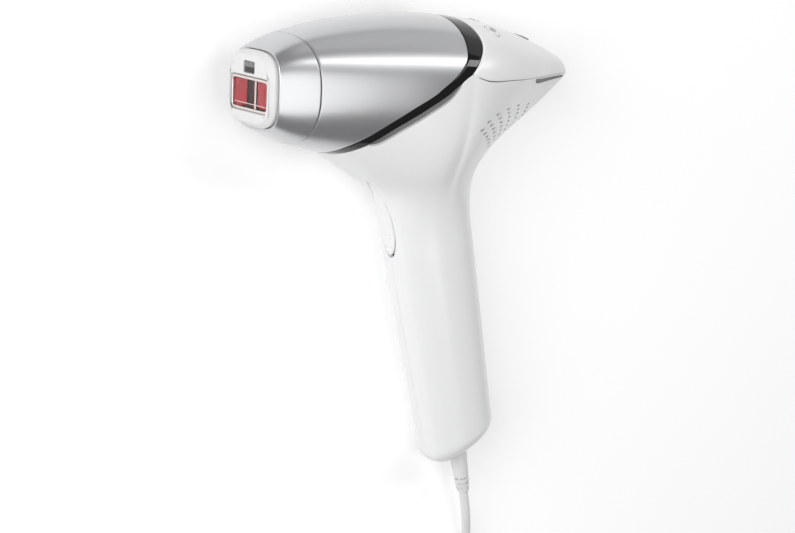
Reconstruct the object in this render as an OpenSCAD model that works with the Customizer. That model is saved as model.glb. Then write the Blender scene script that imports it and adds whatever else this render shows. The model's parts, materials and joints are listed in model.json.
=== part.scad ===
// Corded light-pulse hair remover, lying on its right side on a flat surface.
// The body is drawn nose to -X, head up +Y, left flank up +Z, and place() then lays it down.

/* [Head] */
// Length of the head from the contact face to the tail
head_len = 186; // [186]
// Wall of the silver covers
cover_wall = 1.8; // [1.4:0.1:2.2]
// Wall of the white housing
housing_wall = 2.2; // [1.8:0.1:2.6]
// Gap between neighbouring outer skins
seam_gap = 0.2; // [0.1:0.05:0.3]

/* [Treatment window] */
// Window width across the head
window_w = 28.6; // [26:0.2:30]
// Window height
window_h = 14; // [12:0.5:15]
// Height of the window's centre from the head axis
window_y = -2; // [-2.5:0.1:-1.5]

/* [Handle] */
// Lean of the handle behind the vertical, in degrees
lean = 12.9; // [11:0.1:14]
// Length of the handle below the neck
handle_len = 104; // [98:1:108]
// Rounding of the handle's lower edge
end_round = 8; // [6:0.5:9]

/* [Controls] */
// Radius of the three small buttons
button_r = 4; // [3.5:0.1:4.4]
// Radius of the rear power button
power_r = 5.1; // [4.5:0.1:5.3]
// Half width of the trigger
trigger_w = 5.2; // [4.8:0.1:5.6]

/* [Cord] */
// Diameter of the cord
cord_d = 4.5; // [4.5]
// Mean radius of the stored coil
coil_r = 27; // [27]

/* [Hidden] */

round_fn = 48;
// lie-down: tilt brings the handle end down to the surface, lift puts the flank on it
tilt = 6.08;
lift = 34.54;
shift_x = -93;
shift_y = 86.96;

// outlines of the head along its axis: [distance from the nose, value]
crest = [[0, 16.8], [12, 23], [25, 27], [44, 30.3], [67, 32.2], [88, 32.2], [108, 30.4], [132, 26],
    [154, 19], [169, 13], [178, 8.8], [183, 5.5], [186, 1.5]];
flank = [[0, 17.3], [4, 18.8], [25, 24], [58, 29.8], [86, 33.2], [108, 33.2], [132, 26.6], [154, 16.8],
    [169, 9.4], [178, 5.4], [183, 3.2], [186, 1]];
belly = [[0, 15.8], [12, 22.3], [21, 26], [33, 29.3], [48, 32.7], [77, 36.5], [106, 36.5], [186, 29]];
squareness = [[0, 3.6], [20, 2.7], [50, 2.25], [100, 2.2], [130, 2.35], [186, 2.3]];
// edges that run round the head: [angle from the crest, distance from the nose]
trim_front = [[0, 103], [50, 102], [68, 99.5], [80, 93.5], [90, 84.5], [102, 70], [119, 55.5],
    [145, 42], [180, 35]];
trim_rear = [[0, 111], [44, 113], [61, 110.5], [80, 102], [90, 92], [103, 77], [119, 62.5],
    [140, 52], [160, 44], [180, 39.5]];
// lower edge of the rear cap: [distance from the nose, angle from the crest]
cap_edge = [[102, 80], [107, 83.5], [115, 87], [132, 88.5], [155, 90], [186, 91]];
// upper edge of the white housing: [share of the way from chin to tail, [distance, angle]]
rim = [[0, [39.5, 180]], [0.07, [44, 160]], [0.14, [52, 140]], [0.23, [62.5, 119]], [0.33, [77, 103]],
    [0.43, [92, 90]], [0.495, [102, 80]], [0.53, [107, 83.5]], [0.58, [115, 87]], [0.68, [132, 88.5]],
    [0.82, [155, 90]], [1, [186, 91]]];
// how the housing leaves the rim: [share, [angle on the handle, direction x, y, z, pull at the rim]]
flow = [[0, [0, 0.86, -0.5, 0, 36]], [0.14, [24, 0.62, -0.76, -0.12, 42]],
    [0.33, [60, 0.25, -0.96, -0.05, 48]], [0.495, [90, 0, -1, 0.03, 50]],
    [0.68, [118, -0.28, -0.95, -0.02, 48]], [0.82, [142, -0.52, -0.85, -0.04, 50]],
    [1, [180, -0.76, -0.64, 0, 60]]];
handle_pull = 46;
neck = [105.8, -80, 0];
down = [sin(lean), -cos(lean), 0];
rearward = [cos(lean), sin(lean), 0];
// half depth and half width of the handle: [distance below the neck, value]
half_depth = [[0, 22.4], [45, 21.1], [90, 19.6], [115, 19.2]];
half_width = [[0, 18.4], [45, 17.3], [90, 16.3], [115, 16]];
handle_square = 2.2;
end_slant = 5;
cord_hole_r = 5.6;

// ---------- curves ----------
function span_of(x, P, i = 0) = (i >= len(P) - 2 || x < P[i + 1][0]) ? i : span_of(x, P, i + 1);
function slope_at(P, i) = let (a = max(i - 1, 0), b = min(i + 1, len(P) - 1))
    (P[b][1] - P[a][1]) / (P[b][0] - P[a][0]);
// smooth cubic through the rows [x, value] of P
function curve(x, P) = let (i = span_of(x, P), h = P[i + 1][0] - P[i][0],
    s = min(max((x - P[i][0]) / h, 0), 1), q = 1 - s)
    (1 + 2 * s) * q * q * P[i][1] + s * q * q * h * slope_at(P, i)
    + s * s * (3 - 2 * s) * P[i + 1][1] - s * s * q * h * slope_at(P, i + 1);
function signed_pow(v, e) = sign(v) * pow(abs(v), e);
function unit(v) = v / norm(v);

// point of the head's skin, a depth t under it
function head_at(x, a, t = 0) = let (e = 2 / curve(x, squareness),
    h = (cos(a) >= 0) ? curve(x, crest) : curve(x, belly))
    [x, max(h - t, 0.3) * signed_pow(cos(a), e), max(curve(x, flank) - t, 0.3) * signed_pow(sin(a), e)];
// point of the handle's skin, v below the neck, at angle a from the front
function handle_at(v, a, t = 0, k = 1) = let (e = 2 / handle_square)
    neck + v * down - k * (curve(v, half_depth) - t) * signed_pow(cos(a), e) * rearward
    + [0, 0, k * (curve(v, half_width) - t) * signed_pow(sin(a), e)];
// flare between the rim and the neck: a cubic Bezier for each share u, s runs 0 to 1
function flare(u, s) = let (r = curve(u, rim), f = curve(u, flow), p0 = head_at(r[0], r[1]),
    p1 = p0 + f[4] * unit([f[1], f[2], f[3]]), p3 = handle_at(0, f[0]), p2 = p3 - handle_pull * down,
    q = 1 - s) q * q * q * p0 + 3 * q * q * s * p1 + 3 * q * s * s * p2 + s * s * s * p3;
function flare_normal(u, s) = let (d = 0.004, u0 = max(u - d, 0), u1 = min(u + d, 1),
    s0 = max(s - d, 0), s1 = min(s + d, 1))
    unit(cross(flare(u, s1) - flare(u, s0), flare(u1, s) - flare(u0, s)));
// whole skin of the housing: r 0-1 flare, 1-2 handle, 2-3 rounded end, 3-4 end face to the cord hole
function end_plane(a, k) = handle_len + end_slant * cos(a) * k;
function skin(u, r, t = 0) = let (a = curve(u, flow)[0]) (r <= 1) ? flare(u, r) - t * flare_normal(u, r)
    : (r <= 2) ? handle_at((r - 1) * (end_plane(a, 1) - end_round), a, t)
    : let (w = 90 * min(r - 2, 1), R = end_round - t, v = end_plane(a, 1) - end_round,
        full = handle_at(v, a), middle = neck + v * down, inset = t + R * (1 - cos(w)),
        edge = norm(full - middle),
        k = (r <= 3) ? 1 - inset / edge : 1 + (cord_hole_r / edge - 1) * 1,
        drop = R * sin(w) + ((r <= 3) ? 0 : end_slant * cos(a) * (cord_hole_r / edge - 1)))
        middle + drop * down + k * (full - middle);

// ---------- solids from grids ----------
function flat(L) = [for (row = L) each row];
// closed wall between two grids of the same size; ring = true joins the last column to the first
module wall(outer, inner, ring = false, turn = false) {
    rows = len(outer);
    cols = len(outer[0]);
    size = rows * cols;
    last = ring ? cols - 1 : cols - 2;
    quads = [
        for (i = [0 : rows - 2]) for (j = [0 : last]) let (k = (j + 1) % cols)
            each [[i * cols + j, i * cols + k, (i + 1) * cols + k, (i + 1) * cols + j],
                [size + i * cols + k, size + i * cols + j, size + (i + 1) * cols + j,
                    size + (i + 1) * cols + k]],
        for (j = [0 : last]) let (k = (j + 1) % cols, e = (rows - 1) * cols)
            each [[k, j, size + j, size + k], [e + j, e + k, size + e + k, size + e + j]],
        if (!ring) for (i = [0 : rows - 2]) let (e = cols - 1)
            each [[i * cols, (i + 1) * cols, size + (i + 1) * cols, size + i * cols],
                [(i + 1) * cols + e, i * cols + e, size + i * cols + e, size + (i + 1) * cols + e]]
    ];
    tris = [for (q = quads) each (turn ? [[q[0], q[2], q[1]], [q[0], q[3], q[2]]]
        : [[q[0], q[1], q[2]], [q[0], q[2], q[3]]])];
    polyhedron(points = concat(flat(outer), flat(inner)), faces = tris);
}
// one finished mesh out of the shapes cut and joined inside it
module as_mesh() {
    resize([0, 0, 0]) children();
}
// tube of n sides along a route; each ring turns as little as it can from the one before
function tangents(P) = [for (i = [0 : len(P) - 1]) unit(P[min(i + 1, len(P) - 1)] - P[max(i - 1, 0)])];
function carried(T, i = 0, side = undef, out = []) = (i == len(T)) ? out
    : let (s0 = (i == 0) ? cross(T[0], abs(T[0][2]) < 0.9 ? [0, 0, 1] : [1, 0, 0]) : side,
        s = unit(s0 - (s0 * T[i]) * T[i])) carried(T, i + 1, s, concat(out, [s]));
module tube(P, d, n = 8) {
    T = tangents(P);
    S = carried(T);
    rings = [for (i = [0 : len(P) - 1]) [for (j = [0 : n - 1]) let (b = cross(T[i], S[i]))
        P[i] + d / 2 * (cos(360 * j / n) * S[i] + sin(360 * j / n) * b)]];
    e = (len(P) - 1) * n;
    polyhedron(points = flat(rings), faces = concat(
        [[for (j = [0 : n - 1]) j]], [[for (j = [0 : n - 1]) e + n - 1 - j]],
        [for (i = [0 : len(P) - 2]) for (j = [0 : n - 1]) let (k = (j + 1) % n)
            each [[i * n + j, (i + 1) * n + k, i * n + k], [i * n + j, (i + 1) * n + j, (i + 1) * n + k]]]));
}
// points of a smooth curve through a hand-chosen route, m per stretch
function route_rows(P) = [for (i = [0 : len(P) - 1]) [i, P[i]]];
function smooth(P, m) = let (R = route_rows(P)) [for (i = [0 : (len(P) - 1) * m]) curve(i / m, R)];

// ---------- places ----------
module place() {
    translate([shift_x, shift_y, lift]) rotate([tilt, 0, 0]) children();
}
// local +z runs down the handle, +x to the rear, +y to the left flank
module in_handle() {
    translate(neck) rotate([0, 0, lean]) rotate([90, 0, 0]) children();
}
// local +z is the outward normal of the head's skin at a button
module on_crest(x, z) {
    p = crest_point(x, z);
    n = crest_normal(x, z);
    translate(p) rotate([0, acos(n[2]), atan2(n[1], n[0])]) children();
}
function crest_point(x, z) = let (e = curve(x, squareness))
    [x, curve(x, crest) * pow(1 - pow(abs(z) / curve(x, flank), e), 1 / e), z];
function crest_normal(x, z) = let (d = 0.5)
    unit(cross(crest_point(x, z + d) - crest_point(x, z - d), crest_point(x + d, z) - crest_point(x - d, z)));

// ---------- silver covers and trim ----------
function seam_front(a) = 18.3 + 5.2 * pow(sin(a), 2);
angles = [for (j = [0 : 47]) j * 7.5 - 180];
function band(n, lo, hi, t, A = angles) = [for (i = [0 : n]) [for (a = A)
    let (s = i / n, x = lo(a) * (1 - s) + hi(a) * s) head_at(x, a, t)]];
module head_band(n, lo, hi, t0, t1) {
    wall(band(n, lo, hi, t0), band(n, lo, hi, t1), ring = true, turn = true);
}
module attachment_shell() {
    place() color([0.72, 0.73, 0.75])
        head_band(5, function (a) 4.2, function (a) seam_front(a) - seam_gap, 0, 0.9);
}
module main_cover() {
    place() color([0.7, 0.71, 0.73])
        head_band(12, function (a) seam_front(a) + seam_gap,
            function (a) curve(abs(a), trim_front) - seam_gap / 2, 0, cover_wall);
}
module trim_band() {
    place() color([0.05, 0.05, 0.06])
        head_band(2, function (a) curve(abs(a), trim_front) + seam_gap / 2,
            function (a) curve(abs(a), trim_rear) - seam_gap / 2, 0.1, 2.4);
}

// ---------- white housing ----------
rows_of_skin = concat([for (i = [0 : 13]) i / 13], [for (i = [1 : 8]) 1 + i / 8],
    [2.25, 2.5, 2.75, 3], [4]);
shares = [for (j = [0 : 30]) j / 30];
mid_gap = 0.06;
function clear_mid(p, u) = (u < 0.001 || u > 0.999) ? [p[0], p[1], mid_gap] : [p[0], p[1], max(p[2], mid_gap)];
function half_skin(t) = [for (r = rows_of_skin) [for (u = shares) clear_mid(skin(u, r, t), u)]];
left_outer = half_skin(0);
left_inner = half_skin(housing_wall);

// share at which the skin of row r reaches the half width z
function share_at(z, r, lo = 0, hi = 0.3, n = 14) = (n == 0) ? (lo + hi) / 2
    : let (m = (lo + hi) / 2) (skin(m, r)[2] < z) ? share_at(z, r, m, hi, n - 1) : share_at(z, r, lo, m, n - 1);
trigger_top = 0.47;
trigger_bottom = 0.985;
trigger_rows = [0, 0.06, 0.14, 0.25, 0.38, 0.52, 0.66, 0.78, 0.87, 0.93, 0.97, 1];
// half width of the trigger, pointed at the top and round at the bottom
function trigger_half(s) = trigger_w * min(pow(sin(min(s / 0.8, 1) * 90), 0.85),
    sqrt(max(1 - pow(max(s - 0.8, 0) / 0.2, 2), 0.001)));
function trigger_row(s, grow) = let (r = trigger_top + (trigger_bottom - trigger_top) * s,
    w = max(trigger_half(s), 0.25) + grow) [for (c = [-1, -0.75, -0.5, -0.25, 0, 0.25, 0.5, 0.75, 1])
    let (u = share_at(abs(c) * w, r)) [r, u, sign(c)]];
function skin_normal(u, r) = let (d = 0.01, u0 = max(u - d, 0), u1 = min(u + d, 1))
    unit(cross(skin(u, r + d) - skin(u, r - d), skin(u1, r) - skin(u0, r)));
function trigger_grid(grow, t, stretch = 0) = [for (s = trigger_rows)
    let (s2 = s + stretch * (2 * s - 1)) [for (q = trigger_row(max(min(s, 1), 0), grow))
    let (r = q[0] + stretch * (2 * s - 1), u = q[1], n = skin_normal(max(u, 0.001), r),
        p = skin(u, r) - t * n) [p[0], p[1], (q[2] == 0) ? 0 : q[2] * max(p[2], 0)]]];
module trigger_blank(grow, outside, inside, stretch) {
    wall(trigger_grid(grow, outside, stretch), trigger_grid(grow, inside, stretch));
}

// vent slots under the tail: columns that fan towards the handle
vent_cols = 6;
vent_rows = 6;
vent_l = 3.8;
vent_wd = 1.2;
function vent_share(i, j) = 0.58 + 0.02 * i + 0.008 * i * i + (0.026 - 0.001 * i) * j;
function vent_depth(i, j) = 0.196 - 0.046 * i + 0.006 * i * i + 0.021 * j + 0.0015 * j * j;
module vent_cut(u, s) {
    p = flare(u, s);
    n = flare_normal(u, s);
    a = unit(flare(u, s + 0.02) - flare(u, s - 0.02));
    b = cross(n, a);
    lengthways = unit(b * 0.94 - a * 0.36);
    across = cross(n, lengthways);
    polyhedron(points = [for (k = [-3, 1.5]) for (c = [[-1, -1], [1, -1], [1, 1], [-1, 1]])
        p + k * n + c[0] * vent_l / 2 * lengthways + c[1] * vent_wd / 2 * across],
        faces = [[0, 1, 2, 3], [7, 6, 5, 4], [1, 0, 4, 5], [2, 1, 5, 6], [3, 2, 6, 7], [0, 3, 7, 4]]);
}
module vent_cuts() {
    for (i = [0 : vent_cols - 1]) for (j = [0 : vent_rows - 1])
        vent_cut(vent_share(i, j), vent_depth(i, j));
}

// intake recess under the trim
recess_from = 0.15;
recess_to = 0.455;
recess_w = 3.4;
function recess_row(c, grow, t) = let (u = recess_from + (recess_to - recess_from) * c,
    w = max(recess_w * sqrt(max(1 - pow(2 * c - 1, 6), 0)) + grow, 0.4)) [for (k = [0, 0.5, 1])
    let (p = flare(u, 0), n = flare_normal(u, 0.01), d = unit(flare(u, 0.03) - p)) p + (k * w - 0.4) * d - t * n];
module recess_blank(grow, outside, inside) {
    grid = function (t) [for (i = [0 : 20]) recess_row(i / 20, grow, t)];
    wall(grid(outside), grid(inside), turn = true);
}

module housing_half() {
    as_mesh() difference() {
        wall(left_outer, left_inner);
        trigger_blank(0.45, -3, 6, 0.012);
        recess_blank(0, -1.5, 1.5);
        vent_cuts();
    }
}
module housing_left() {
    place() color([0.94, 0.95, 0.95]) housing_half();
}
module housing_right() {
    place() color([0.94, 0.95, 0.95]) mirror([0, 0, 1]) housing_half();
}
module intake_liner() {
    recess_blank(-0.5, 0.9, 1.4);
}
module intake_liner_left() {
    place() color([0.35, 0.36, 0.37]) intake_liner();
}
module intake_liner_right() {
    place() color([0.35, 0.36, 0.37]) mirror([0, 0, 1]) intake_liner();
}

// ---------- rear cap, with its four button holes ----------
function cap_angle(c, a = 60, n = 4) = (n == 0) ? a : cap_angle(c, abs(c) * curve(curve(a, trim_rear), cap_edge), n - 1);
function cap_point(c, s, t) = let (x0 = curve(cap_angle(c), trim_rear) + seam_gap, x = x0 + (head_len - x0) * s)
    head_at(x, c * (curve(x, cap_edge) - 0.8), t);
function cap_grid(t) = [for (i = [0 : 16]) let (s = 1 - pow(1 - i / 16, 1.3))
    [for (j = [-14 : 14]) cap_point(j / 14, s, t)]];
buttons = [[126, 16, 0], [126, 0, 0], [126, -16, 0], [155.5, 0, 1]];
function button_size(b) = (b[2] == 0) ? button_r : power_r;
module rear_top_cap() {
    place() color([0.95, 0.96, 0.96]) as_mesh() difference() {
        wall(cap_grid(0), cap_grid(housing_wall), turn = true);
        for (b = buttons) on_crest(b[0], b[1]) cylinder(h = 14, r = button_size(b) + 0.35, center = true, $fn = 32);
    }
}
module tail_slot_insert() {
    xs = [154, 160, 166, 171, 175, 178, 181];
    grid = function (t) [for (x = xs) [for (k = [0.15, 2.6])
        let (p = head_at(x, curve(x, cap_edge), t), w = k * (1 - 0.6 * (x - 154) / 27)) [p[0], p[1] - w, p[2]]]];
    place() color([0.45, 0.46, 0.47]) {
        wall(grid(-0.25), grid(1.6), turn = true);
        mirror([0, 0, 1]) wall(grid(-0.25), grid(1.6), turn = true);
    }
}

// ---------- buttons ----------
module button_shape(r) {
    rotate_extrude($fn = round_fn)
        polygon([[0, -6], [1.5, -6], [1.5, -2.2], [r, -2.2], [r, -0.15], [r - 0.5, 0.22], [0, 0.4]]);
}
module button_at(b) {
    place() color([0.93, 0.94, 0.94]) on_crest(b[0], b[1]) button_shape(button_size(b));
}
module button_left() { button_at(buttons[0]); }
module button_centre() { button_at(buttons[1]); }
module button_right() { button_at(buttons[2]); }
module power_button() { button_at(buttons[3]); }
module button_switches() {
    place() color([0.2, 0.2, 0.22]) for (b = buttons) on_crest(b[0], b[1]) translate([0, 0, -9]) {
        translate([-2.5, -2.5, -1.2]) cube([5, 5, 2.4]);
        cylinder(h = 2.2, r = 1.4, $fn = round_fn);
    }
}
module control_board() {
    place() color([0.1, 0.35, 0.2]) translate([114, 14.2, 0]) rotate([0, 0, -19]) rotate([90, 0, 0])
        linear_extrude(height = 1.2)
            polygon([[0, -19], [20, -17], [48, -6], [48, 6], [20, 17], [0, 19]]);
}

// ---------- nose: contact ring, window and attachment ----------
window_z = window_w / 2;
window_low = window_y - window_h / 2;
window_high = window_y + window_h / 2;
// a flat outline in the cross plane of the head, drawn along the head from x0 to x1
module along_x(x0, x1) {
    translate([x0, 0, 0]) rotate([90, 0, 90]) linear_extrude(height = x1 - x0) children();
}
module head_outline(x, t) {
    polygon([for (a = [0 : 10 : 350]) let (p = head_at(x, a - 180, t)) [p[1], p[2]]]);
}
// window-shaped rectangle, grown by g
module window_outline(g) {
    translate([window_low - g, -window_z - g]) square([window_h + 2 * g, window_w + 2 * g]);
}
guide_posts = [[10.8, 9.6], [10.8, -9.6], [-13.2, 8.6], [-13.2, -8.6]];
ring_back = 5.2;
flange_x = 9.6;
sensor_low = 7.5;
sensor_high = 12.9;
sensor_half = 4.4;
module sensor_box(x0, x1, g) {
    translate([x0, sensor_low - g, -sensor_half - g]) cube([x1 - x0, sensor_high - sensor_low + 2 * g,
        2 * sensor_half + 2 * g]);
}
module contact_ring() {
    place() color([0.95, 0.95, 0.94]) difference() {
        union() {
            along_x(0, 0.8) head_outline(4, 2.6);
            along_x(0.8, 1.8) head_outline(4, 1.7);
            along_x(1.8, ring_back) head_outline(4, 1.25);
            for (p = guide_posts) translate([ring_back - 0.1, p[0], p[1]]) rotate([0, 90, 0])
                cylinder(h = 6.6, r = 1.2, $fn = round_fn);
        }
        along_x(-1, ring_back + 1) window_outline(1);
        sensor_box(-1, 2.3, 0.1);
    }
}
module skin_sensor_window() {
    place() color([0.35, 0.35, 0.36]) sensor_box(0.35, 2.2, 0);
}
module contact_ring_springs() {
    place() color([0.7, 0.7, 0.72]) for (p = guide_posts) translate([ring_back + 0.05, p[0], p[1]])
        rotate([0, 90, 0]) difference() {
            cylinder(h = flange_x - ring_back - 0.1, r = 1.9, $fn = round_fn);
            translate([0, 0, -1]) cylinder(h = 8, r = 1.4, $fn = round_fn);
        }
}
module filter_frame() {
    place() color([0.86, 0.82, 0.8]) {
        difference() {
            along_x(0.5, 6.4) window_outline(0.7);
            along_x(2.1, 7) window_outline(0.15);
            along_x(0, 3) window_outline(-0.6);
        }
    }
}
module filter_glass() {
    place() color([0.75, 0.08, 0.1, 0.6]) along_x(2.4, 4.4) window_outline(0.05);
}
collar_wall = 1.6;
collar_back = 27;
module attachment_collar() {
    place() color([0.2, 0.2, 0.21]) difference() {
        union() {
            along_x(6.5, collar_back) window_outline(collar_wall);
            along_x(flange_x, flange_x + 1.6) head_outline(8.6, 1.1);
        }
        along_x(6, collar_back + 1) window_outline(0.1);
        for (p = guide_posts) translate([flange_x - 1, p[0], p[1]]) rotate([0, 90, 0])
            cylinder(h = 4, r = 1.28, $fn = round_fn);
    }
}
module attachment_contacts() {
    place() color([0.85, 0.7, 0.35]) for (z = [-4.5, -1.5, 1.5, 4.5])
        translate([21, window_high + collar_wall, z - 0.9]) cube([5, 0.4, 1.8]);
}

// ---------- light engine ----------
lamp_x = 47;
lamp_r = 3.4;
lamp_half = 17;
frame_half_y = 12.5;
frame_half_z = 20.5;
frame_back = 62;
lug_y = 14.8;
lug_z = 17;
module engine_lugs() {
    for (y = [-lug_y, lug_y]) for (z = [-lug_z, lug_z]) translate([0, window_y + y, z]) rotate([0, 90, 0])
        children();
}
module uv_filter() {
    place() color([0.6, 0.75, 0.85, 0.5]) translate([29.2, window_y - 9.5, -16.5]) cube([1.6, 19, 33]);
}
module optics_frame() {
    place() color([0.12, 0.12, 0.13]) difference() {
        union() {
            translate([28.4, window_y - frame_half_y, -frame_half_z])
                cube([frame_back - 28.4, 2 * frame_half_y, 2 * frame_half_z]);
            engine_lugs() translate([0, 0, 56]) cylinder(h = frame_back - 56, r = 2.8, $fn = round_fn);
        }
        translate([32, window_y - frame_half_y + 1.5, -frame_half_z + 1.5])
            cube([40, 2 * frame_half_y - 3, 2 * frame_half_z - 3]);
        translate([28, window_y - 9.7, -16.7]) cube([3, 19.4, 33.4]);
        translate([30, window_y - 8.5, -15.5]) cube([3, 17, 31]);
        translate([lamp_x, window_y, -30]) cylinder(h = 60, r = 4.3, $fn = round_fn);
        engine_lugs() translate([0, 0, 50]) cylinder(h = 20, r = 1.3, $fn = round_fn);
    }
}
// polished trough: a round back behind the lamp and straight flaring sides
reflector_r = 6;
function trough(r, mouth) = concat([[32.4, mouth]], [for (a = [65 : 10 : 295]) [lamp_x - r * cos(a), r * sin(a)]],
    [[32.4, -mouth]]);
module reflector() {
    outside = trough(reflector_r + 0.8, 9.2);
    inside = trough(reflector_r, 8.4);
    place() color([0.9, 0.9, 0.92]) translate([0, window_y, -15]) linear_extrude(height = 30)
        polygon(concat(outside, [for (i = [len(inside) - 1 : -1 : 0]) inside[i]]));
}
module flash_lamp() {
    place() color([0.85, 0.88, 0.9, 0.5]) translate([lamp_x, window_y, -lamp_half]) difference() {
        cylinder(h = 2 * lamp_half, r = lamp_r, $fn = round_fn);
        translate([0, 0, 3]) cylinder(h = 2 * lamp_half - 6, r = lamp_r - 0.9, $fn = round_fn);
    }
}
module lamp_end_caps() {
    place() color([0.8, 0.8, 0.8]) for (m = [0, 1]) mirror([0, 0, m]) translate([lamp_x, window_y, lamp_half])
        cylinder(h = 5.5, r = 3.9, $fn = round_fn);
}
module lamp_holders() {
    place() color([0.9, 0.9, 0.88]) for (m = [0, 1]) mirror([0, 0, m]) difference() {
        translate([40, window_y - 9, 15.1]) cube([13.6, 18, 1.7]);
        translate([lamp_x, window_y, 10]) cylinder(h = 20, r = lamp_r + 0.05, $fn = round_fn);
    }
}
module heat_sink() {
    place() color([0.75, 0.76, 0.78]) {
        translate([54.4, window_y - 10, -16]) cube([2, 20, 32]);
        for (i = [0 : 8]) translate([56.3, window_y - 10, -15.6 + i * 3.8]) cube([12, 20, 0.8]);
    }
}
module engine_screws() {
    place() color([0.7, 0.7, 0.72]) engine_lugs() {
        translate([0, 0, 52]) cylinder(h = frame_back - 52, r = 1.27, $fn = round_fn);
        translate([0, 0, frame_back]) cylinder(h = 1.8, r = 2.3, $fn = round_fn);
    }
}
module ignition_coil() {
    place() color([0.25, 0.18, 0.12]) translate([71, 12, -12]) rotate([0, 90, 0])
        cylinder(h = 14, r = 5, $fn = round_fn);
}

// ---------- cooling fan, shaft along the head ----------
fan_x = 90;
fan_y = -3;
fan_r = 19.6;
shaft_r = 1.5;
module fan_place() {
    place() translate([fan_x, fan_y, 0]) rotate([0, 90, 0]) children();
}
module fan_housing() {
    color([0.15, 0.15, 0.16]) fan_place() difference() {
        union() {
            difference() {
                translate([-21, -21, 0]) cube([42, 42, 12]);
                translate([0, 0, -1]) cylinder(h = 14, r = fan_r, $fn = round_fn);
            }
            translate([0, 0, 10.4]) cylinder(h = 1.6, r = 8, $fn = round_fn);
            for (i = [0 : 3]) rotate([0, 0, 45 + 90 * i]) translate([7, -1.5, 10.4]) cube([13.5, 3, 1.6]);
        }
        translate([0, 0, 5]) cylinder(h = 10, r = shaft_r + 0.05, $fn = round_fn);
    }
}
module fan_motor() {
    color([0.6, 0.45, 0.3]) fan_place() difference() {
        translate([0, 0, 6.2]) cylinder(h = 4.1, r = 7.4, $fn = round_fn);
        translate([0, 0, 5]) cylinder(h = 10, r = shaft_r + 0.05, $fn = round_fn);
    }
}
module fan_rotor() {
    color([0.1, 0.1, 0.11]) fan_place() {
        difference() {
            translate([0, 0, 1]) cylinder(h = 8.4, r = 9, $fn = round_fn);
            translate([0, 0, 5]) cylinder(h = 10, r = 7.9, $fn = round_fn);
        }
        translate([0, 0, 1]) cylinder(h = 10.6, r = shaft_r, $fn = round_fn);
        intersection() {
            for (i = [0 : 6]) rotate([0, 0, i * 360 / 7]) translate([8.6, 0, 5.2]) rotate([38, 0, 0])
                translate([0, -4.2, -0.5]) cube([12, 8.4, 1]);
            cylinder(h = 12, r = fan_r - 0.5, $fn = round_fn);
        }
    }
}

// ---------- trigger and its lever ----------
pivot = skin(0, trigger_top + 0.06) - 7 * skin_normal(0.001, trigger_top + 0.06);
lever_end = skin(0, 0.93) - 8 * skin_normal(0.001, 0.93);
lever_run = lever_end - pivot;
lever_len = norm(lever_run);
lever_turn = atan2(lever_run[1], lever_run[0]);
pin_r = 1;
dots_at = 0.93;
module trigger() {
    place() color([0.93, 0.94, 0.94]) as_mesh() union() {
        trigger_blank(0, -0.3, 2.3, 0);
        for (c = [[0, 0], [0.018, 1.9], [0.018, -1.9], [-0.018, 1.9], [-0.018, -1.9], [0.036, 0], [-0.036, 0]])
            let (r = dots_at + c[0], n = skin_normal(0.001, r), u = share_at(abs(c[1]), r), q = skin(u, r))
                translate([q[0], q[1], (c[1] < 0) ? -q[2] : q[2]]) sphere(r = 0.75, $fn = 10);
    }
}
// local +x runs from the pivot to the lower end of the lever, +y into the handle
module lever_place() {
    place() translate([pivot[0], pivot[1], 0]) rotate([0, 0, lever_turn]) children();
}
module trigger_lever() {
    color([0.25, 0.25, 0.26]) lever_place() difference() {
        union() {
            translate([0, 0, -3]) cylinder(h = 6, r = 2.6, $fn = round_fn);
            translate([0, -1.1, -3]) cube([lever_len, 2.2, 6]);
            translate([lever_len - 3, -1.1, 0]) rotate([90, 0, 0]) cylinder(h = 4.5, r = 1.8, $fn = round_fn);
        }
        translate([0, 0, -5]) cylinder(h = 10, r = pin_r + 0.04, $fn = round_fn);
    }
}
module trigger_pin() {
    color([0.75, 0.75, 0.77]) lever_place() translate([0, 0, -5.6]) cylinder(h = 11.2, r = pin_r, $fn = round_fn);
}
spring_at = 20;
spring_clear = 2.1;
spring_len = 4.6;
module trigger_spring() {
    color([0.7, 0.7, 0.72]) lever_place() translate([spring_at, spring_clear, 0]) rotate([0, 0, -lever_turn])
        rotate([0, 90, 0]) difference() {
            cylinder(h = spring_len, r = 2.2, $fn = round_fn);
            translate([0, 0, -1]) cylinder(h = spring_len + 2, r = 1.6, $fn = round_fn);
        }
}
module trigger_switch() {
    color([0.15, 0.15, 0.16]) lever_place() {
        translate([lever_len - 9, 3.4, -3]) cube([11, 6, 6]);
        translate([lever_len - 4, 3.1, -1]) cube([2, 1, 2]);
    }
}

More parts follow.
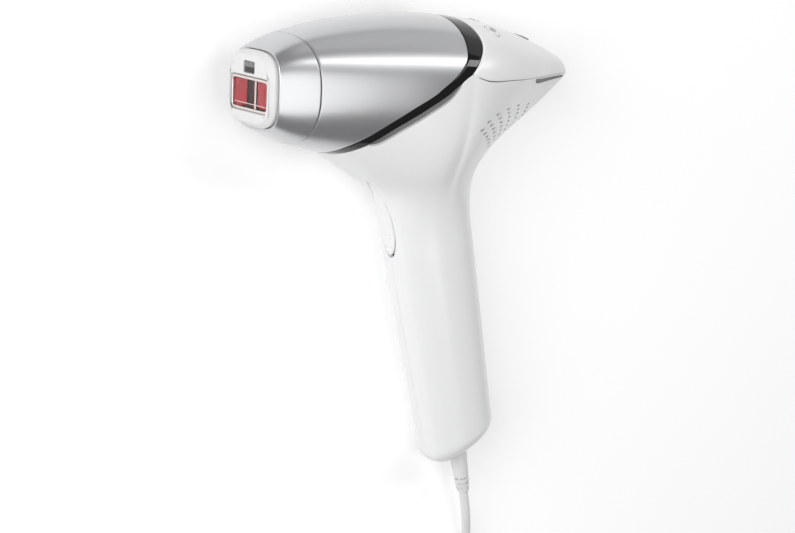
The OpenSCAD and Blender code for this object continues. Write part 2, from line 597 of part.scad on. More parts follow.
// ---------- handle: frame, power parts ----------
spine_x = 14.2;
boss_z = [-30, -12, 8, 74];
module inner_frame() {
    color([0.3, 0.3, 0.31]) {
        place() in_handle() difference() {
            union() {
                translate([spine_x, -6, -36]) cube([1.6, 12, 116]);
                for (z = boss_z) translate([spine_x - 2, -6, z]) rotate([-90, 0, 0])
                    cylinder(h = 12, r = 3, $fn = round_fn);
            }
            for (z = boss_z) translate([spine_x - 2, -10, z]) rotate([-90, 0, 0])
                cylinder(h = 20, r = 1.3, $fn = round_fn);
        }
        lever_place() for (m = [0, 1]) mirror([0, 0, m]) difference() {
            union() {
                translate([0, 0, 3.4]) cylinder(h = 2, r = 3, $fn = round_fn);
                rotate([0, 0, arm_turn - lever_turn]) translate([0, -2, 3.4]) cube([arm_len, 4, 2]);
            }
            cylinder(h = 10, r = pin_r + 0.02, $fn = round_fn);
        }
        lever_place() {
            for (m = [0, 1]) mirror([0, 0, m]) translate([0, 0, 3.4]) linear_extrude(height = 2)
                polygon([[2, -2], [16, 5.8], [46, 8], [46, 10.9], [14, 8.8], [1.6, 2.9]]);
            translate([spring_at - 4, 7.2, -3.6]) cube([8, 1.5, 7.2]);
            translate([lever_len - 9, 9.4, -3.6]) cube([9, 1.5, 7.2]);
        }
    }
}
arm_foot = neck - 26 * down + (spine_x + 0.8) * rearward;
arm_run = arm_foot - pivot;
arm_len = norm(arm_run);
arm_turn = atan2(arm_run[1], arm_run[0]);
module frame_screws() {
    color([0.7, 0.7, 0.72]) place() in_handle() for (z = boss_z) translate([spine_x - 2, 0, z]) {
        translate([0, -6, 0]) rotate([-90, 0, 0]) cylinder(h = 11, r = 1.27, $fn = round_fn);
        translate([0, -7.6, 0]) rotate([-90, 0, 0]) cylinder(h = 1.6, r = 2.3, $fn = round_fn);
    }
}
module storage_capacitor() {
    color([0.1, 0.12, 0.2]) place() in_handle() translate([0.3, 0, 18]) cylinder(h = 48, r = 11.4, $fn = round_fn);
}
module capacitor_clips() {
    color([0.3, 0.3, 0.31]) place() in_handle() for (z = [24, 54]) translate([0.3, 0, z]) difference() {
        cylinder(h = 4, r = 13, $fn = round_fn);
        translate([0, 0, -1]) cylinder(h = 6, r = 11.45, $fn = round_fn);
    }
}
module power_board() {
    color([0.1, 0.35, 0.2]) place() in_handle() translate([-14.9, -6.5, 22]) cube([1.2, 13, 62]);
}
module high_voltage_transformer() {
    color([0.75, 0.65, 0.3]) place() in_handle() {
        translate([-6, -7, 69]) cube([13, 14, 4]);
        translate([-6, -7, 77]) cube([13, 14, 4]);
        translate([0.5, 0, 72]) cylinder(h = 6, r = 5.6, $fn = round_fn);
    }
}
lead_route = [[47, -2, 23.3], [47.5, -6, 23.8], [50, -12, 22.8], [58, -21, 19], [70, -30, 14], [82, -40, 11],
    [92, -52, 10], [99, -65, 9.5], [104, -78, 9], [107, -90, 8]];
module lamp_leads() {
    place() color([0.8, 0.15, 0.12]) for (m = [0, 1]) mirror([0, 0, m]) tube(smooth(lead_route, 2), 1.5, 6);
}

// ---------- cord, coil and adapter ----------
relief_tip = 130;
module cord_clamp() {
    color([0.2, 0.2, 0.21]) place() in_handle() difference() {
        translate([-7, -7, 85]) cube([14, 14, 6]);
        translate([0, 0, 80]) cylinder(h = 20, r = 3.25, $fn = round_fn);
    }
}
module strain_relief() {
    color([0.82, 0.83, 0.84]) place() in_handle() {
        translate([0, 0, 84]) cylinder(h = 14, r = 3.2, $fn = round_fn);
        translate([0, 0, 97.6]) cylinder(h = 2, r = 6.4, $fn = round_fn);
        rotate_extrude($fn = round_fn) polygon([[0, 99], [5, 99], [4.6, 106], [4.2, 114], [3.75, 121],
            [3.7, 121.9], [3.3, 121.9], [3.3, 122.9], [3.6, 122.9], [3.5, 124.7], [3.1, 124.7], [3.1, 125.6],
            [3.45, 125.6], [3.35, 127.2], [3, 127.2], [3, 128.1], [3.2, 128.1], [2.9, relief_tip],
            [0, relief_tip]]);
    }
}
coil_at = [13.5, -191.75];
coil_low = 0.8;
turns_wide = 6;
turns_high = 2;
coil_out = coil_r + turns_wide / 2 * cord_d;
coil_in = coil_r - turns_wide / 2 * cord_d;
run_out = [[41.8, -118.6, 12.6], [43, -124, 12], [44.6, -131, 10.8], [46.2, -138, 8.8], [47.8, -146, 6.2],
    [49.4, -154, 4.2], [50.7, -162, 3.2], [51.5, -170, 3.05], [51.75, -180, 3.05], [51.75, -191.75, 3.05]];
run_in = [[13.5, -230, 7.55], [6, -230, 7.55], [0, -230, 7.55], [-6, -230, 7.55], [-11, -230, 7.5], [-16, -230, 7.5]];
module mains_cord() {
    color([0.85, 0.86, 0.87]) {
        tube(smooth(run_out, 2), cord_d, 10);
        tube(smooth(run_in, 2), cord_d, 10);
    }
}
module cord_coil() {
    color([0.85, 0.86, 0.87]) translate([coil_at[0], coil_at[1], coil_low]) rotate_extrude($fn = 64)
        translate([coil_in, 0]) square([turns_wide * cord_d, turns_high * cord_d]);
}
module cord_tie() {
    color([0.12, 0.12, 0.13]) translate([coil_at[0], coil_at[1], 0]) rotate([0, 0, 125]) difference() {
        translate([coil_in - 0.9, -4, 0]) cube([coil_out - coil_in + 1.8, 8, coil_low + turns_high * cord_d + 0.9]);
        translate([coil_in - 0.1, -5, coil_low - 0.1])
            cube([coil_out - coil_in + 0.2, 10, turns_high * cord_d + 0.2]);
    }
}
case_x = -32;
case_l = 50;
case_y = -233;
case_w = 28;
case_h = 38;
pin_gap = 18.6;
plug_r = 2;
plug_len = 19;
pin_root_r = 1.6;
// local +z runs out of the adapter, away from the device
module pin_places() {
    for (s = [-1, 1]) translate([case_x - case_l / 2 + s * pin_gap / 2, case_y, case_h / 2])
        rotate([90, 0, 0]) children();
}
module adapter_case() {
    color([0.9, 0.9, 0.9]) difference() {
        translate([case_x - case_l, case_y - case_w / 2, 0]) cube([case_l, case_w, case_h]);
        pin_places() {
            cylinder(h = case_w, r = pin_root_r, $fn = round_fn);
            translate([0, 0, case_w / 2 - 0.5]) cylinder(h = 1, r = plug_r + 0.05, $fn = round_fn);
        }
    }
}
module adapter_strain_relief() {
    color([0.85, 0.86, 0.87]) translate([case_x, case_y + 3, 7.5]) rotate([0, 90, 0]) rotate_extrude($fn = round_fn)
        polygon([[0, 0], [4.8, 0], [4.8, 2], [3.2, 16], [0, 16]]);
}
module adapter_pins() {
    color([0.8, 0.8, 0.82]) pin_places() {
        cylinder(h = case_w / 2 + 1, r = pin_root_r, $fn = round_fn);
        translate([0, 0, case_w / 2]) cylinder(h = plug_len, r = plug_r, $fn = round_fn);
    }
}

housing_left();
housing_right();
rear_top_cap();
trim_band();
main_cover();
tail_slot_insert();
intake_liner_left();
intake_liner_right();
attachment_shell();
attachment_collar();
filter_glass();
filter_frame();
attachment_contacts();
contact_ring();
skin_sensor_window();
contact_ring_springs();
uv_filter();
optics_frame();
reflector();
flash_lamp();
lamp_end_caps();
lamp_holders();
heat_sink();
engine_screws();
fan_housing();
fan_motor();
fan_rotor();
control_board();
button_switches();
button_left();
button_centre();
button_right();
power_button();
inner_frame();
frame_screws();
trigger();
trigger_lever();
trigger_pin();
trigger_spring();
trigger_switch();
storage_capacitor();
capacitor_clips();
power_board();
high_voltage_transformer();
ignition_coil();
lamp_leads();
cord_clamp();
strain_relief();
mains_cord();
cord_coil();
cord_tie();
adapter_case();
adapter_strain_relief();
adapter_pins();
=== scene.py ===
# %% [markdown]
# # A corded light-pulse hair remover, lying on its side
#
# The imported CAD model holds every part, size and joint. This lesson builds the looks around it. Lengths
# in the shape formulas are millimetres in the device's own frame, where x runs from the nose to the
# tail, y up to the crest and z to the left flank. `laid` turns them into metres in the CAD frame.

# %% Load the frame
import json
import math

import bmesh
import bpy
import numpy as np
from mathutils import Matrix


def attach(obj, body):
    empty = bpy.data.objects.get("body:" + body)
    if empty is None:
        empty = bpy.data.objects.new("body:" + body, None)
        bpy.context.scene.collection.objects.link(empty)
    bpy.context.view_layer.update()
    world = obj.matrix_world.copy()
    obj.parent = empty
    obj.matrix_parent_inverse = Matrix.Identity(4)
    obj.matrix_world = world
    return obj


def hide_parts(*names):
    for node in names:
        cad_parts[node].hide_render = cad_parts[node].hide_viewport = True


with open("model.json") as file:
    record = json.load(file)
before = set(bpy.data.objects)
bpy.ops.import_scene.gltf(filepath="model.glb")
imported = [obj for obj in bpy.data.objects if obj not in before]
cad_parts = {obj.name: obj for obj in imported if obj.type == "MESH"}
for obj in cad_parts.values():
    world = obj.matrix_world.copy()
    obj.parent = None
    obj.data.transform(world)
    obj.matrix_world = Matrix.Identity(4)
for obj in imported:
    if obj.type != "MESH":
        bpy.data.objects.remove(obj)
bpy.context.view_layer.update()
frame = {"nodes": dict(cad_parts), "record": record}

# %% [markdown]
# ## Camera
#
# The device is seen from above its nose, a little towards the crest. A long lens a metre off keeps the
# perspective gentle. The camera is placed by the point it looks at and by three angles.

# %% Camera
look_at = np.array([-0.0437, 0.0063, 0.0774])
camera_distance = 1.15
azimuth, elevation, roll = np.radians([-101.47, 52.88, 97.95])
towards_camera = np.array([math.sin(azimuth) * math.cos(elevation),
                           -math.cos(azimuth) * math.cos(elevation), math.sin(elevation)])
level = np.cross([0, 0, 1], towards_camera)
level /= np.linalg.norm(level)
upright = np.cross(towards_camera, level)
camera_x = math.cos(roll) * level + math.sin(roll) * upright
camera_y = -math.sin(roll) * level + math.cos(roll) * upright

camera_data = bpy.data.cameras.new("camera")
camera_data.lens = 115.7
camera_data.sensor_width = 36
camera_data.clip_start = 0.05
camera = bpy.data.objects.new("camera", camera_data)
turn = np.eye(4)
turn[:3, 0], turn[:3, 1], turn[:3, 2] = camera_x, camera_y, towards_camera
turn[:3, 3] = look_at + camera_distance * towards_camera
camera.matrix_world = Matrix(turn.tolist())
bpy.context.scene.collection.objects.link(camera)
bpy.context.scene.camera = camera
print("camera stands at", np.round(turn[:3, 3], 3))

# %% [markdown]
# ## Smooth curves and the lying pose
#
# Every outline of the body is a short table of points with a smooth cubic through them. The
# same `curve` serves the outlines, the rims and the cord.

# %% Curves and frames
TILT = math.radians(6.08)
SHIFT = np.array([-93, 86.96, 34.54])
MM = 0.001


def laid(points):
    """Device millimetres to CAD metres: a turn about x by the tilt, then a shift."""
    p = np.asarray(points, float)
    y = p[..., 1] * math.cos(TILT) - p[..., 2] * math.sin(TILT)
    z = p[..., 1] * math.sin(TILT) + p[..., 2] * math.cos(TILT)
    return (np.stack([p[..., 0], y, z], -1) + SHIFT) * MM


def curve(x, rows):
    """Cubic through rows of (position, values): each span is a Hermite cubic whose end slopes are
    those of the chord between the neighbouring rows."""
    rows = np.asarray(rows, float)
    at, value = rows[:, 0], rows[:, 1:]
    index = np.arange(len(at))
    before, after = np.maximum(index - 1, 0), np.minimum(index + 1, len(at) - 1)
    slope = (value[after] - value[before]) / (at[after] - at[before])[:, None]
    x = np.asarray(x, float)
    k = np.clip(np.searchsorted(at, x, side="right") - 1, 0, len(at) - 2)
    span = (at[k + 1] - at[k])[..., None]
    s = np.clip((x[..., None] - at[k][..., None]) / span, 0, 1)
    q = 1 - s
    out = ((1 + 2 * s) * q * q * value[k] + s * q * q * span * slope[k]
           + s * s * (3 - 2 * s) * value[k + 1] - s * s * q * span * slope[k + 1])
    return out[..., 0] if out.shape[-1] == 1 else out


def unit(v):
    return v / np.maximum(np.linalg.norm(v, axis=-1, keepdims=True), 1e-12)


def signed_pow(v, e):
    return np.sign(v) * np.abs(v) ** e


# %% [markdown]
# ## The mains cord
#
# The cord is 4.5 mm vinyl, 1.8 m long. It leaves the strain relief along the handle and sinks to the
# surface. The length that isn't needed is wound into a flat round coil, and the cord ends in a wall
# adapter. The coil's turns come from one formula of the turn number.

# %% Cord route
CORD_D = 4.5
RUN_OUT = [[41.8, -118.6, 12.6], [43, -124, 12], [44.6, -131, 10.8], [46.2, -138, 8.8], [47.8, -146, 6.2],
           [49.4, -154, 4.2], [50.7, -162, 3.2], [51.5, -170, 3.05], [51.75, -180, 3.05],
           [51.75, -191.75, 3.05]]
RUN_IN = [[13.5, -230, 7.55], [6, -230, 7.55], [0, -230, 7.55], [-6, -230, 7.55], [-11, -230, 7.5],
          [-16, -230, 7.5]]
COIL_AT = np.array([13.5, -191.75])
COIL_R = 27
COIL_LOW = 0.8
TURNS_WIDE, TURNS_HIGH = 6, 2
TURNS = 10.25
OUTER_R = COIL_R + (TURNS_WIDE - 1) / 2 * CORD_D


def through(route, per_stretch):
    """Points of the smooth curve through a route, evenly spaced in each stretch."""
    rows = np.column_stack([np.arange(len(route)), route])
    return curve(np.linspace(0, len(route) - 1, (len(route) - 1) * per_stretch + 1), rows)


def eased(t, start, end):
    """Goes from 0 to 1 between start and end, level at both."""
    s = np.clip((t - start) / (end - start), 0, 1)
    return s * s * (3 - 2 * s)


def coil_points(turns, per_turn=44):
    """A flat coil wound in two layers: the lower one spirals in by one cord a turn, climbs at the
    middle, and the upper one spirals out again until it leaves on the outer turn."""
    t = np.linspace(0, turns, int(turns * per_turn) + 1)[1:-1]
    inwards = OUTER_R - CORD_D * np.minimum(t, 5)
    outwards = OUTER_R - CORD_D * (turns - np.maximum(t, 5.6))
    swap = eased(t, 5, 5.6)
    radius = inwards * (1 - swap) + outwards * swap
    height = COIL_LOW + CORD_D * (0.5 + eased(t, 4.7, 5.5))
    angle = -2 * np.pi * t
    return np.stack([COIL_AT[0] + radius * np.cos(angle), COIL_AT[1] + radius * np.sin(angle), height], -1)


cord_path = np.concatenate([through(RUN_OUT, 4), coil_points(TURNS), through(RUN_IN, 4)])
cord_length = np.linalg.norm(np.diff(cord_path, axis=0), axis=1).sum() * MM
print(f"cord centreline {cord_length:.3f} m in {len(cord_path)} points")

# %% [markdown]
# ## Mesh helpers
#
# Four forms cover every piece: a closed wall between two grids, a ring whose cross-section is a closed
# profile, a turned profile and a swept tube. All of them make whole arrays of vertices and faces, and
# one function puts arrays into a Blender mesh.

# %% Mesh helpers
POLE = 1e-4  # millimetres: a ring this small is welded into one vertex, which closes a pole


def quads_of(rows, cols, wrap=False, start=0):
    """Faces of a rows by cols grid, one array row per quad; wrap joins the last column to the first."""
    i, j = np.meshgrid(np.arange(rows - 1), np.arange(cols if wrap else cols - 1), indexing="ij")
    k = (j + 1) % cols
    corners = [i * cols + j, i * cols + k, (i + 1) * cols + k, (i + 1) * cols + j]
    return start + np.stack(corners, -1).reshape(-1, 4)


def wall(outer, inner, ring=False):
    """Vertices and faces of the closed wall between an outer and an inner grid of one size."""
    rows, cols = outer.shape[:2]
    size = rows * cols
    front = quads_of(rows, cols, ring)
    back = quads_of(rows, cols, ring, size)[:, ::-1]
    j = np.arange(cols if ring else cols - 1)
    k = (j + 1) % cols
    last = (rows - 1) * cols
    edges = [np.stack([k, j, size + j, size + k], -1),
             np.stack([last + j, last + k, size + last + k, size + last + j], -1)]
    if not ring:
        i = np.arange(rows - 1) * cols
        e = i + cols - 1
        edges += [np.stack([i, i + cols, size + i + cols, size + i], -1),
                  np.stack([e + cols, e, size + e, size + e + cols], -1)]
    verts = np.concatenate([outer.reshape(-1, 3), inner.reshape(-1, 3)])
    return verts, np.concatenate([front, back, *edges])


def signed_volume(verts, faces):
    """Volume inside the faces: a sixth of the sum of each corner triple's determinant. Positive when
    the faces point outwards."""
    a, b, c, d = (verts[faces[:, i]] for i in range(4))
    return (np.einsum("ij,ij->", a, np.cross(b, c)) + np.einsum("ij,ij->", a, np.cross(c, d))) / 6


def welded(mesh, within=5e-7):
    """Joins vertices that meet, so that poles and seams are closed."""
    work = bmesh.new()
    work.from_mesh(mesh)
    bmesh.ops.remove_doubles(work, verts=work.verts, dist=within)
    work.to_mesh(mesh)
    work.free()


def add_piece(name, verts, faces, sharp=32, already_laid=False):
    """A mesh object from arrays, in CAD metres, smooth but for edges sharper than sharp degrees. Faces
    that enclose a negative volume are turned round, so that they point outwards."""
    verts = np.asarray(verts, float) * MM if already_laid else laid(verts)
    if signed_volume(verts - verts.mean(0), faces) < 0:
        faces = faces[:, ::-1]
    mesh = bpy.data.meshes.new(name)
    mesh.from_pydata(verts.tolist(), [], faces.tolist())
    welded(mesh)
    mesh.shade_smooth()
    mesh.set_sharp_from_angle(angle=math.radians(sharp))
    mesh.validate()
    piece = bpy.data.objects.new(name, mesh)
    bpy.context.scene.collection.objects.link(piece)
    return piece


def joined(parts):
    """One pair of vertex and face arrays out of several."""
    offset, verts, faces = 0, [], []
    for v, f in parts:
        verts.append(v)
        faces.append(f + offset)
        offset += len(v)
    return np.concatenate(verts), np.concatenate(faces)


def cut(piece, cutter, sharp=32):
    """Takes the cutter's solid out of the piece's mesh and removes the cutter."""
    step = piece.modifiers.new("cut", "BOOLEAN")
    step.operation, step.solver, step.object = "DIFFERENCE", "EXACT", cutter
    evaluated = piece.evaluated_get(bpy.context.evaluated_depsgraph_get())
    mesh = bpy.data.meshes.new_from_object(evaluated)
    piece.modifiers.clear()
    piece.data = mesh
    bpy.data.objects.remove(cutter)
    mesh.shade_smooth()
    mesh.set_sharp_from_angle(angle=math.radians(sharp))


def circle(count):
    """Angles evenly spaced round a circle, the first one not repeated at the end."""
    return np.linspace(0, 2 * np.pi, count, endpoint=False)


def box_radius(angle, half_a, half_b, power):
    """Radius of a superellipse at each angle: a high power makes it a rounded rectangle."""
    c, s = np.abs(np.cos(angle) / half_a), np.abs(np.sin(angle) / half_b)
    return (c ** power + s ** power) ** (-1 / power)


def turned(profile, sides=64):
    """Profile of (radius, height) rows turned about z, both ends closed on the axis."""
    p, a = np.asarray(profile, float), circle(sides)
    radius = np.maximum(p[:, :1], POLE)
    grid = np.stack([radius * np.cos(a), radius * np.sin(a), np.repeat(p[:, 1:], sides, 1)], -1)
    return grid.reshape(-1, 3), quads_of(len(p), sides, True)


def swept(path, radius, sides=10):
    """Round tube along a path. Each ring turns as little as it can from the one before, and its ends
    are closed by rings that shrink to a point."""
    path = np.asarray(path, float)
    tangent = unit(np.gradient(path, axis=0))
    side = np.cross(tangent[0], [0, 0, 1] if abs(tangent[0][2]) < 0.9 else [1, 0, 0])
    first = []
    for t in tangent:
        side = unit(side - (side @ t) * t)
        first.append(side)
    second = np.cross(tangent, first)
    a = circle(sides)[None, :, None]
    around = np.cos(a) * np.array(first)[:, None] + np.sin(a) * second[:, None]
    tube = path[:, None] + radius * around
    grid = np.concatenate([path[:1, None] + POLE * around[:1], tube, path[-1:, None] + POLE * around[-1:]])
    return grid.reshape(-1, 3), quads_of(len(grid), sides, True)


cord = add_piece("mains_cord_vinyl", *swept(cord_path, CORD_D / 2, 20), already_laid=True)


def ringed(loops):
    """Closed ring out of loops of points: row i of every loop is joined to the next loop, and the last
    loop to the first, so the cross-section is a closed profile."""
    loops = np.asarray(loops, float)
    grid = np.concatenate([loops, loops[:1]])
    return grid.reshape(-1, 3), quads_of(len(grid), loops.shape[1], True)


def edge_depth(distance, radius):
    """How deep a rounded edge lies under the skin at a distance from the edge: a quarter circle."""
    d = np.clip(distance, 0, radius)
    return radius - np.sqrt(np.maximum(radius ** 2 - (radius - d) ** 2, 0))


def crowded(lo, hi, count, edge=0.4):
    """Even steps from lo to hi with four more close to each end, for a rounded edge of that size."""
    close = edge * (1 - np.cos(np.linspace(0, np.pi / 2, 5)))
    return np.concatenate([lo + close, np.linspace(lo, hi, count)[1:-1], (hi - close)[::-1]])


# %% [markdown]
# ## Shape of the head
#
# The head is a row of rounded-square sections. The crest, the flanks and the belly each follow their own
# outline, and the section softens from the square nose to the rounder middle. The covers, the trim and
# the rear cap all lie on this one skin.

# %% Head outlines
HEAD_LEN = 186
CREST = [[0, 16.8], [12, 23], [25, 27], [44, 30.3], [67, 32.2], [88, 32.2], [108, 30.4], [132, 26],
         [154, 19], [169, 13], [178, 8.8], [183, 5.5], [186, 1.5]]
FLANK = [[0, 17.3], [4, 18.8], [25, 24], [58, 29.8], [86, 33.2], [108, 33.2], [132, 26.6], [154, 16.8],
         [169, 9.4], [178, 5.4], [183, 3.2], [186, 1]]
BELLY = [[0, 15.8], [12, 22.3], [21, 26], [33, 29.3], [48, 32.7], [77, 36.5], [106, 36.5], [186, 29]]
SQUARENESS = [[0, 3.6], [20, 2.7], [50, 2.25], [100, 2.2], [130, 2.35], [186, 2.3]]
TRIM_FRONT = [[0, 103], [50, 102], [68, 99.5], [80, 93.5], [90, 84.5], [102, 70], [119, 55.5],
              [145, 42], [180, 35]]
TRIM_REAR = [[0, 111], [44, 113], [61, 110.5], [80, 102], [90, 92], [103, 77], [119, 62.5],
             [140, 52], [160, 44], [180, 39.5]]
CAP_EDGE = [[102, 80], [107, 83.5], [115, 87], [132, 88.5], [155, 90], [186, 91]]
SEAM_GAP = 0.2


def head(x, angle, depth=0.0):
    """Point of the head's skin: at x, a section whose corners follow a power of the cosine and sine of
    the angle from the crest; depth draws the section in."""
    x, angle = np.broadcast_arrays(np.asarray(x, float), np.radians(np.asarray(angle, float)))
    e = 2 / curve(x, SQUARENESS)
    c, s = np.cos(angle), np.sin(angle)
    height = np.maximum(np.where(c >= 0, curve(x, CREST), curve(x, BELLY)) - depth, 0.3)
    width = np.maximum(curve(x, FLANK) - depth, 0.3)
    return np.stack([x, height * signed_pow(c, e), width * signed_pow(s, e)], -1)


def head_band(lo, hi, thick, sunk=0.0, edge=0.35, count=40, around=288):
    """Closed ring of wall on the head's skin, from x = lo to x = hi at each angle, with rounded edges."""
    angle = np.linspace(-180, 180, around, endpoint=False)
    lo, hi = lo(np.abs(angle)), hi(np.abs(angle))
    share = crowded(0, 1, count, 0.02)[:, None]
    x = lo * (1 - share) + hi * share
    depth = sunk + edge_depth(np.minimum(x - lo, hi - x), edge)
    return wall(head(x, angle, depth), head(x, angle, thick), ring=True)


def seam_front(angle):
    """The seam of the attachment: a shallow wave round the head, furthest back on the flanks."""
    return 18.3 + 5.2 * np.sin(np.radians(angle)) ** 2


# %% [markdown]
# ## Covers and trim
#
# The silver cover, the attachment's shell and the black trim are each one band of the head's skin. Their
# edges are rounded in the grid itself, because a sharp edge would never catch the light.

# %% Covers and trim
cover = add_piece("cover_shell", *head_band(lambda a: seam_front(a) + SEAM_GAP,
                                            lambda a: curve(a, TRIM_FRONT) - SEAM_GAP / 2, 1.8))
attachment = add_piece("attachment_cover", *head_band(lambda a: 4.2 + 0 * a,
                                                      lambda a: seam_front(a) - SEAM_GAP, 0.9, count=24))
trim = add_piece("trim_ring", *head_band(lambda a: curve(a, TRIM_FRONT) + SEAM_GAP / 2,
                                         lambda a: curve(a, TRIM_REAR) - SEAM_GAP / 2, 2.4, sunk=0.12,
                                         edge=0.5, count=16))
for piece in (cover, attachment, trim):
    print(piece.name, len(piece.data.polygons), "faces")

# %% [markdown]
# ## White housing
#
# The housing starts at a rim under the trim and the cap, flares down into the handle and closes round
# the cord. Each line down the flare is a Bezier curve: it leaves the rim in its own direction and joins
# the handle along the handle's axis. Below the neck the section is a rounded oval that narrows a little.

# %% Housing skin
RIM = [[0, 39.5, 180], [0.07, 44, 160], [0.14, 52, 140], [0.23, 62.5, 119], [0.33, 77, 103],
       [0.43, 92, 90], [0.495, 102, 80], [0.53, 107, 83.5], [0.58, 115, 87], [0.68, 132, 88.5],
       [0.82, 155, 90], [1, 186, 91]]
FLOW = [[0, 0, 0.86, -0.5, 0, 36], [0.14, 24, 0.62, -0.76, -0.12, 42], [0.33, 60, 0.25, -0.96, -0.05, 48],
        [0.495, 90, 0, -1, 0.03, 50], [0.68, 118, -0.28, -0.95, -0.02, 48],
        [0.82, 142, -0.52, -0.85, -0.04, 50], [1, 180, -0.76, -0.64, 0, 60]]
HANDLE_PULL = 46
NECK = np.array([105.8, -80, 0])
LEAN = math.radians(12.9)
DOWN = np.array([math.sin(LEAN), -math.cos(LEAN), 0])
REARWARD = np.array([math.cos(LEAN), math.sin(LEAN), 0])
LEFTWARD = np.array([0, 0, 1])
HALF_DEPTH = [[0, 22.4], [45, 21.1], [90, 19.6], [115, 19.2]]
HALF_WIDTH = [[0, 18.4], [45, 17.3], [90, 16.3], [115, 16]]
HANDLE_LEN = 104
END_SLANT = 5
END_ROUND = 8
CORD_HOLE_R = 5.6
HOUSING_WALL = 2.2


def handle(v, angle):
    """Point of the handle's skin, v below the neck: a rounded oval, the angle counted from the front."""
    e = 2 / 2.2
    across = (curve(v, HALF_DEPTH) * signed_pow(np.cos(angle), e))[..., None]
    side = (curve(v, HALF_WIDTH) * signed_pow(np.sin(angle), e))[..., None]
    return NECK + v[..., None] * DOWN - across * REARWARD + side * LEFTWARD


def flare(share, s):
    """Bezier from the rim (s = 0) to the neck (s = 1), for each share of the way from chin to tail."""
    rim, flow = curve(share, RIM), curve(share, FLOW)
    p0 = head(rim[..., 0], rim[..., 1])
    p1 = p0 + flow[..., 4:5] * unit(flow[..., 1:4])
    p3 = handle(np.zeros_like(share), np.radians(flow[..., 0]))
    p2 = p3 - HANDLE_PULL * DOWN
    s = s[..., None]
    q = 1 - s
    return q ** 3 * p0 + 3 * q * q * s * p1 + 3 * q * s * s * p2 + s ** 3 * p3


def left_skin(share, row):
    """Skin of the left half. row 0-1 is the flare, 1-2 the handle, 2-3 its rounded end (a quarter
    circle), and 3-4 the end face in to the cord hole."""
    share, row = np.broadcast_arrays(np.asarray(share, float), np.asarray(row, float))
    angle = np.radians(curve(share, FLOW)[..., 0])
    straight = HANDLE_LEN + END_SLANT * np.cos(angle) - END_ROUND
    on_flare = flare(share, np.clip(row, 0, 1))
    on_handle = handle(np.clip(row - 1, 0, 1) * straight, angle)
    w = np.pi / 2 * np.clip(row - 2, 0, 1)
    centre = NECK + straight[..., None] * DOWN
    full = handle(straight, angle)
    reach = np.linalg.norm(full - centre, axis=-1)
    drawn = np.clip(row - 3, 0, 1)
    flat = 1 - END_ROUND / reach
    k = np.where(row <= 3, 1 - END_ROUND * (1 - np.cos(w)) / reach,
                 flat * (1 - drawn) + CORD_HOLE_R / reach * drawn)
    fall = END_SLANT * np.cos(angle) * (CORD_HOLE_R / reach - 1) * drawn
    drop = END_ROUND * np.sin(w) + fall
    on_end = centre + drop[..., None] * DOWN + k[..., None] * (full - centre)
    row = row[..., None]
    return np.where(row <= 1, on_flare, np.where(row <= 2, on_handle, on_end))


def skin(share, row):
    """Skin of both halves: shares outside 0 to 1 are the mirror image across the parting plane."""
    folded = 1 - np.abs(1 - np.abs(share))
    p = left_skin(folded, row)
    flip = np.where((share < 0) | (share > 1), -1.0, 1.0)
    return p * np.stack([np.ones_like(flip), np.ones_like(flip), flip], -1)


def skin_normal(share, row, step=0.004):
    """Outward normal: the cross product of the skin's slopes along the row and the share."""
    share, row = np.broadcast_arrays(np.asarray(share, float), np.asarray(row, float))
    low, high = np.clip(row - step, 0, 4), np.clip(row + step, 0, 4)
    along = skin(share, high) - skin(share, low)
    across = skin(share + step, row) - skin(share - step, row)
    return unit(np.cross(along, across))


# %% [markdown]
# The two halves meet with a hair-line gap. The edges at the rim and at the gap are rounded by sinking
# the first rows and columns of the grid under the skin, as for the bands.

# %% Housing halves
MID_GAP = 0.05


def housing_half():
    """Closed wall of the left half: the skin outside, and the skin sunk by the wall's thickness."""
    rows = np.concatenate([crowded(0, 1, 64, 0.004)[:-4], np.linspace(1, 2, 44)[1:],
                           np.linspace(2, 3, 14)[1:], np.linspace(3, 4, 6)[1:]])
    shares = crowded(0, 1, 120, 0.006)
    row, share = np.meshgrid(rows, shares, indexing="ij")
    base, normal = skin(share, row), skin_normal(share, row)
    depth = np.maximum(edge_depth(row * 150, 0.35), edge_depth(np.minimum(share, 1 - share) * 60, 0.12))

    def sunk(amount):
        p = base - amount[..., None] * normal
        p[..., 2] = np.maximum(p[..., 2], MID_GAP)
        p[:, (0, -1), 2] = MID_GAP
        return p

    return wall(sunk(depth), sunk(np.full_like(depth, HOUSING_WALL)))


half_verts, half_faces = housing_half()
mirror = np.array([1, 1, -1])
housing_left = add_piece("housing_left_shell", half_verts, half_faces)
housing_right = add_piece("housing_right_shell", half_verts * mirror, half_faces)
print("housing half:", len(half_verts), "vertices")

# %% [markdown]
# ## Trigger
#
# The trigger is a long drop-shaped pad let into the front of the handle, with seven raised dots for the
# finger. Its outline is a half width along the pad, and the share of the skin that lies at that half
# width is found by halving an interval. The opening in the housing is the same outline, grown.

# %% Trigger outline
TRIGGER_TOP, TRIGGER_BOTTOM, TRIGGER_W = 0.47, 0.985, 5.2


def trigger_half(s):
    """Half width along the pad: a sine that rises from the point, then a quarter circle at the foot."""
    rising = np.sin(np.minimum(s / 0.8, 1) * np.pi / 2) ** 0.85
    foot = np.sqrt(np.maximum(1 - (np.maximum(s - 0.8, 0) / 0.2) ** 2, 0.001))
    return TRIGGER_W * np.minimum(rising, foot)


def share_at(half, row):
    """Share at which the skin reaches a half width, by twenty halvings of the interval 0 to 0.3."""
    lo, hi = np.zeros_like(half), np.full_like(half, 0.3)
    for _ in range(20):
        mid = (lo + hi) / 2
        short = left_skin(mid, row)[..., 2] < half
        lo, hi = np.where(short, mid, lo), np.where(short, hi, mid)
    return (lo + hi) / 2


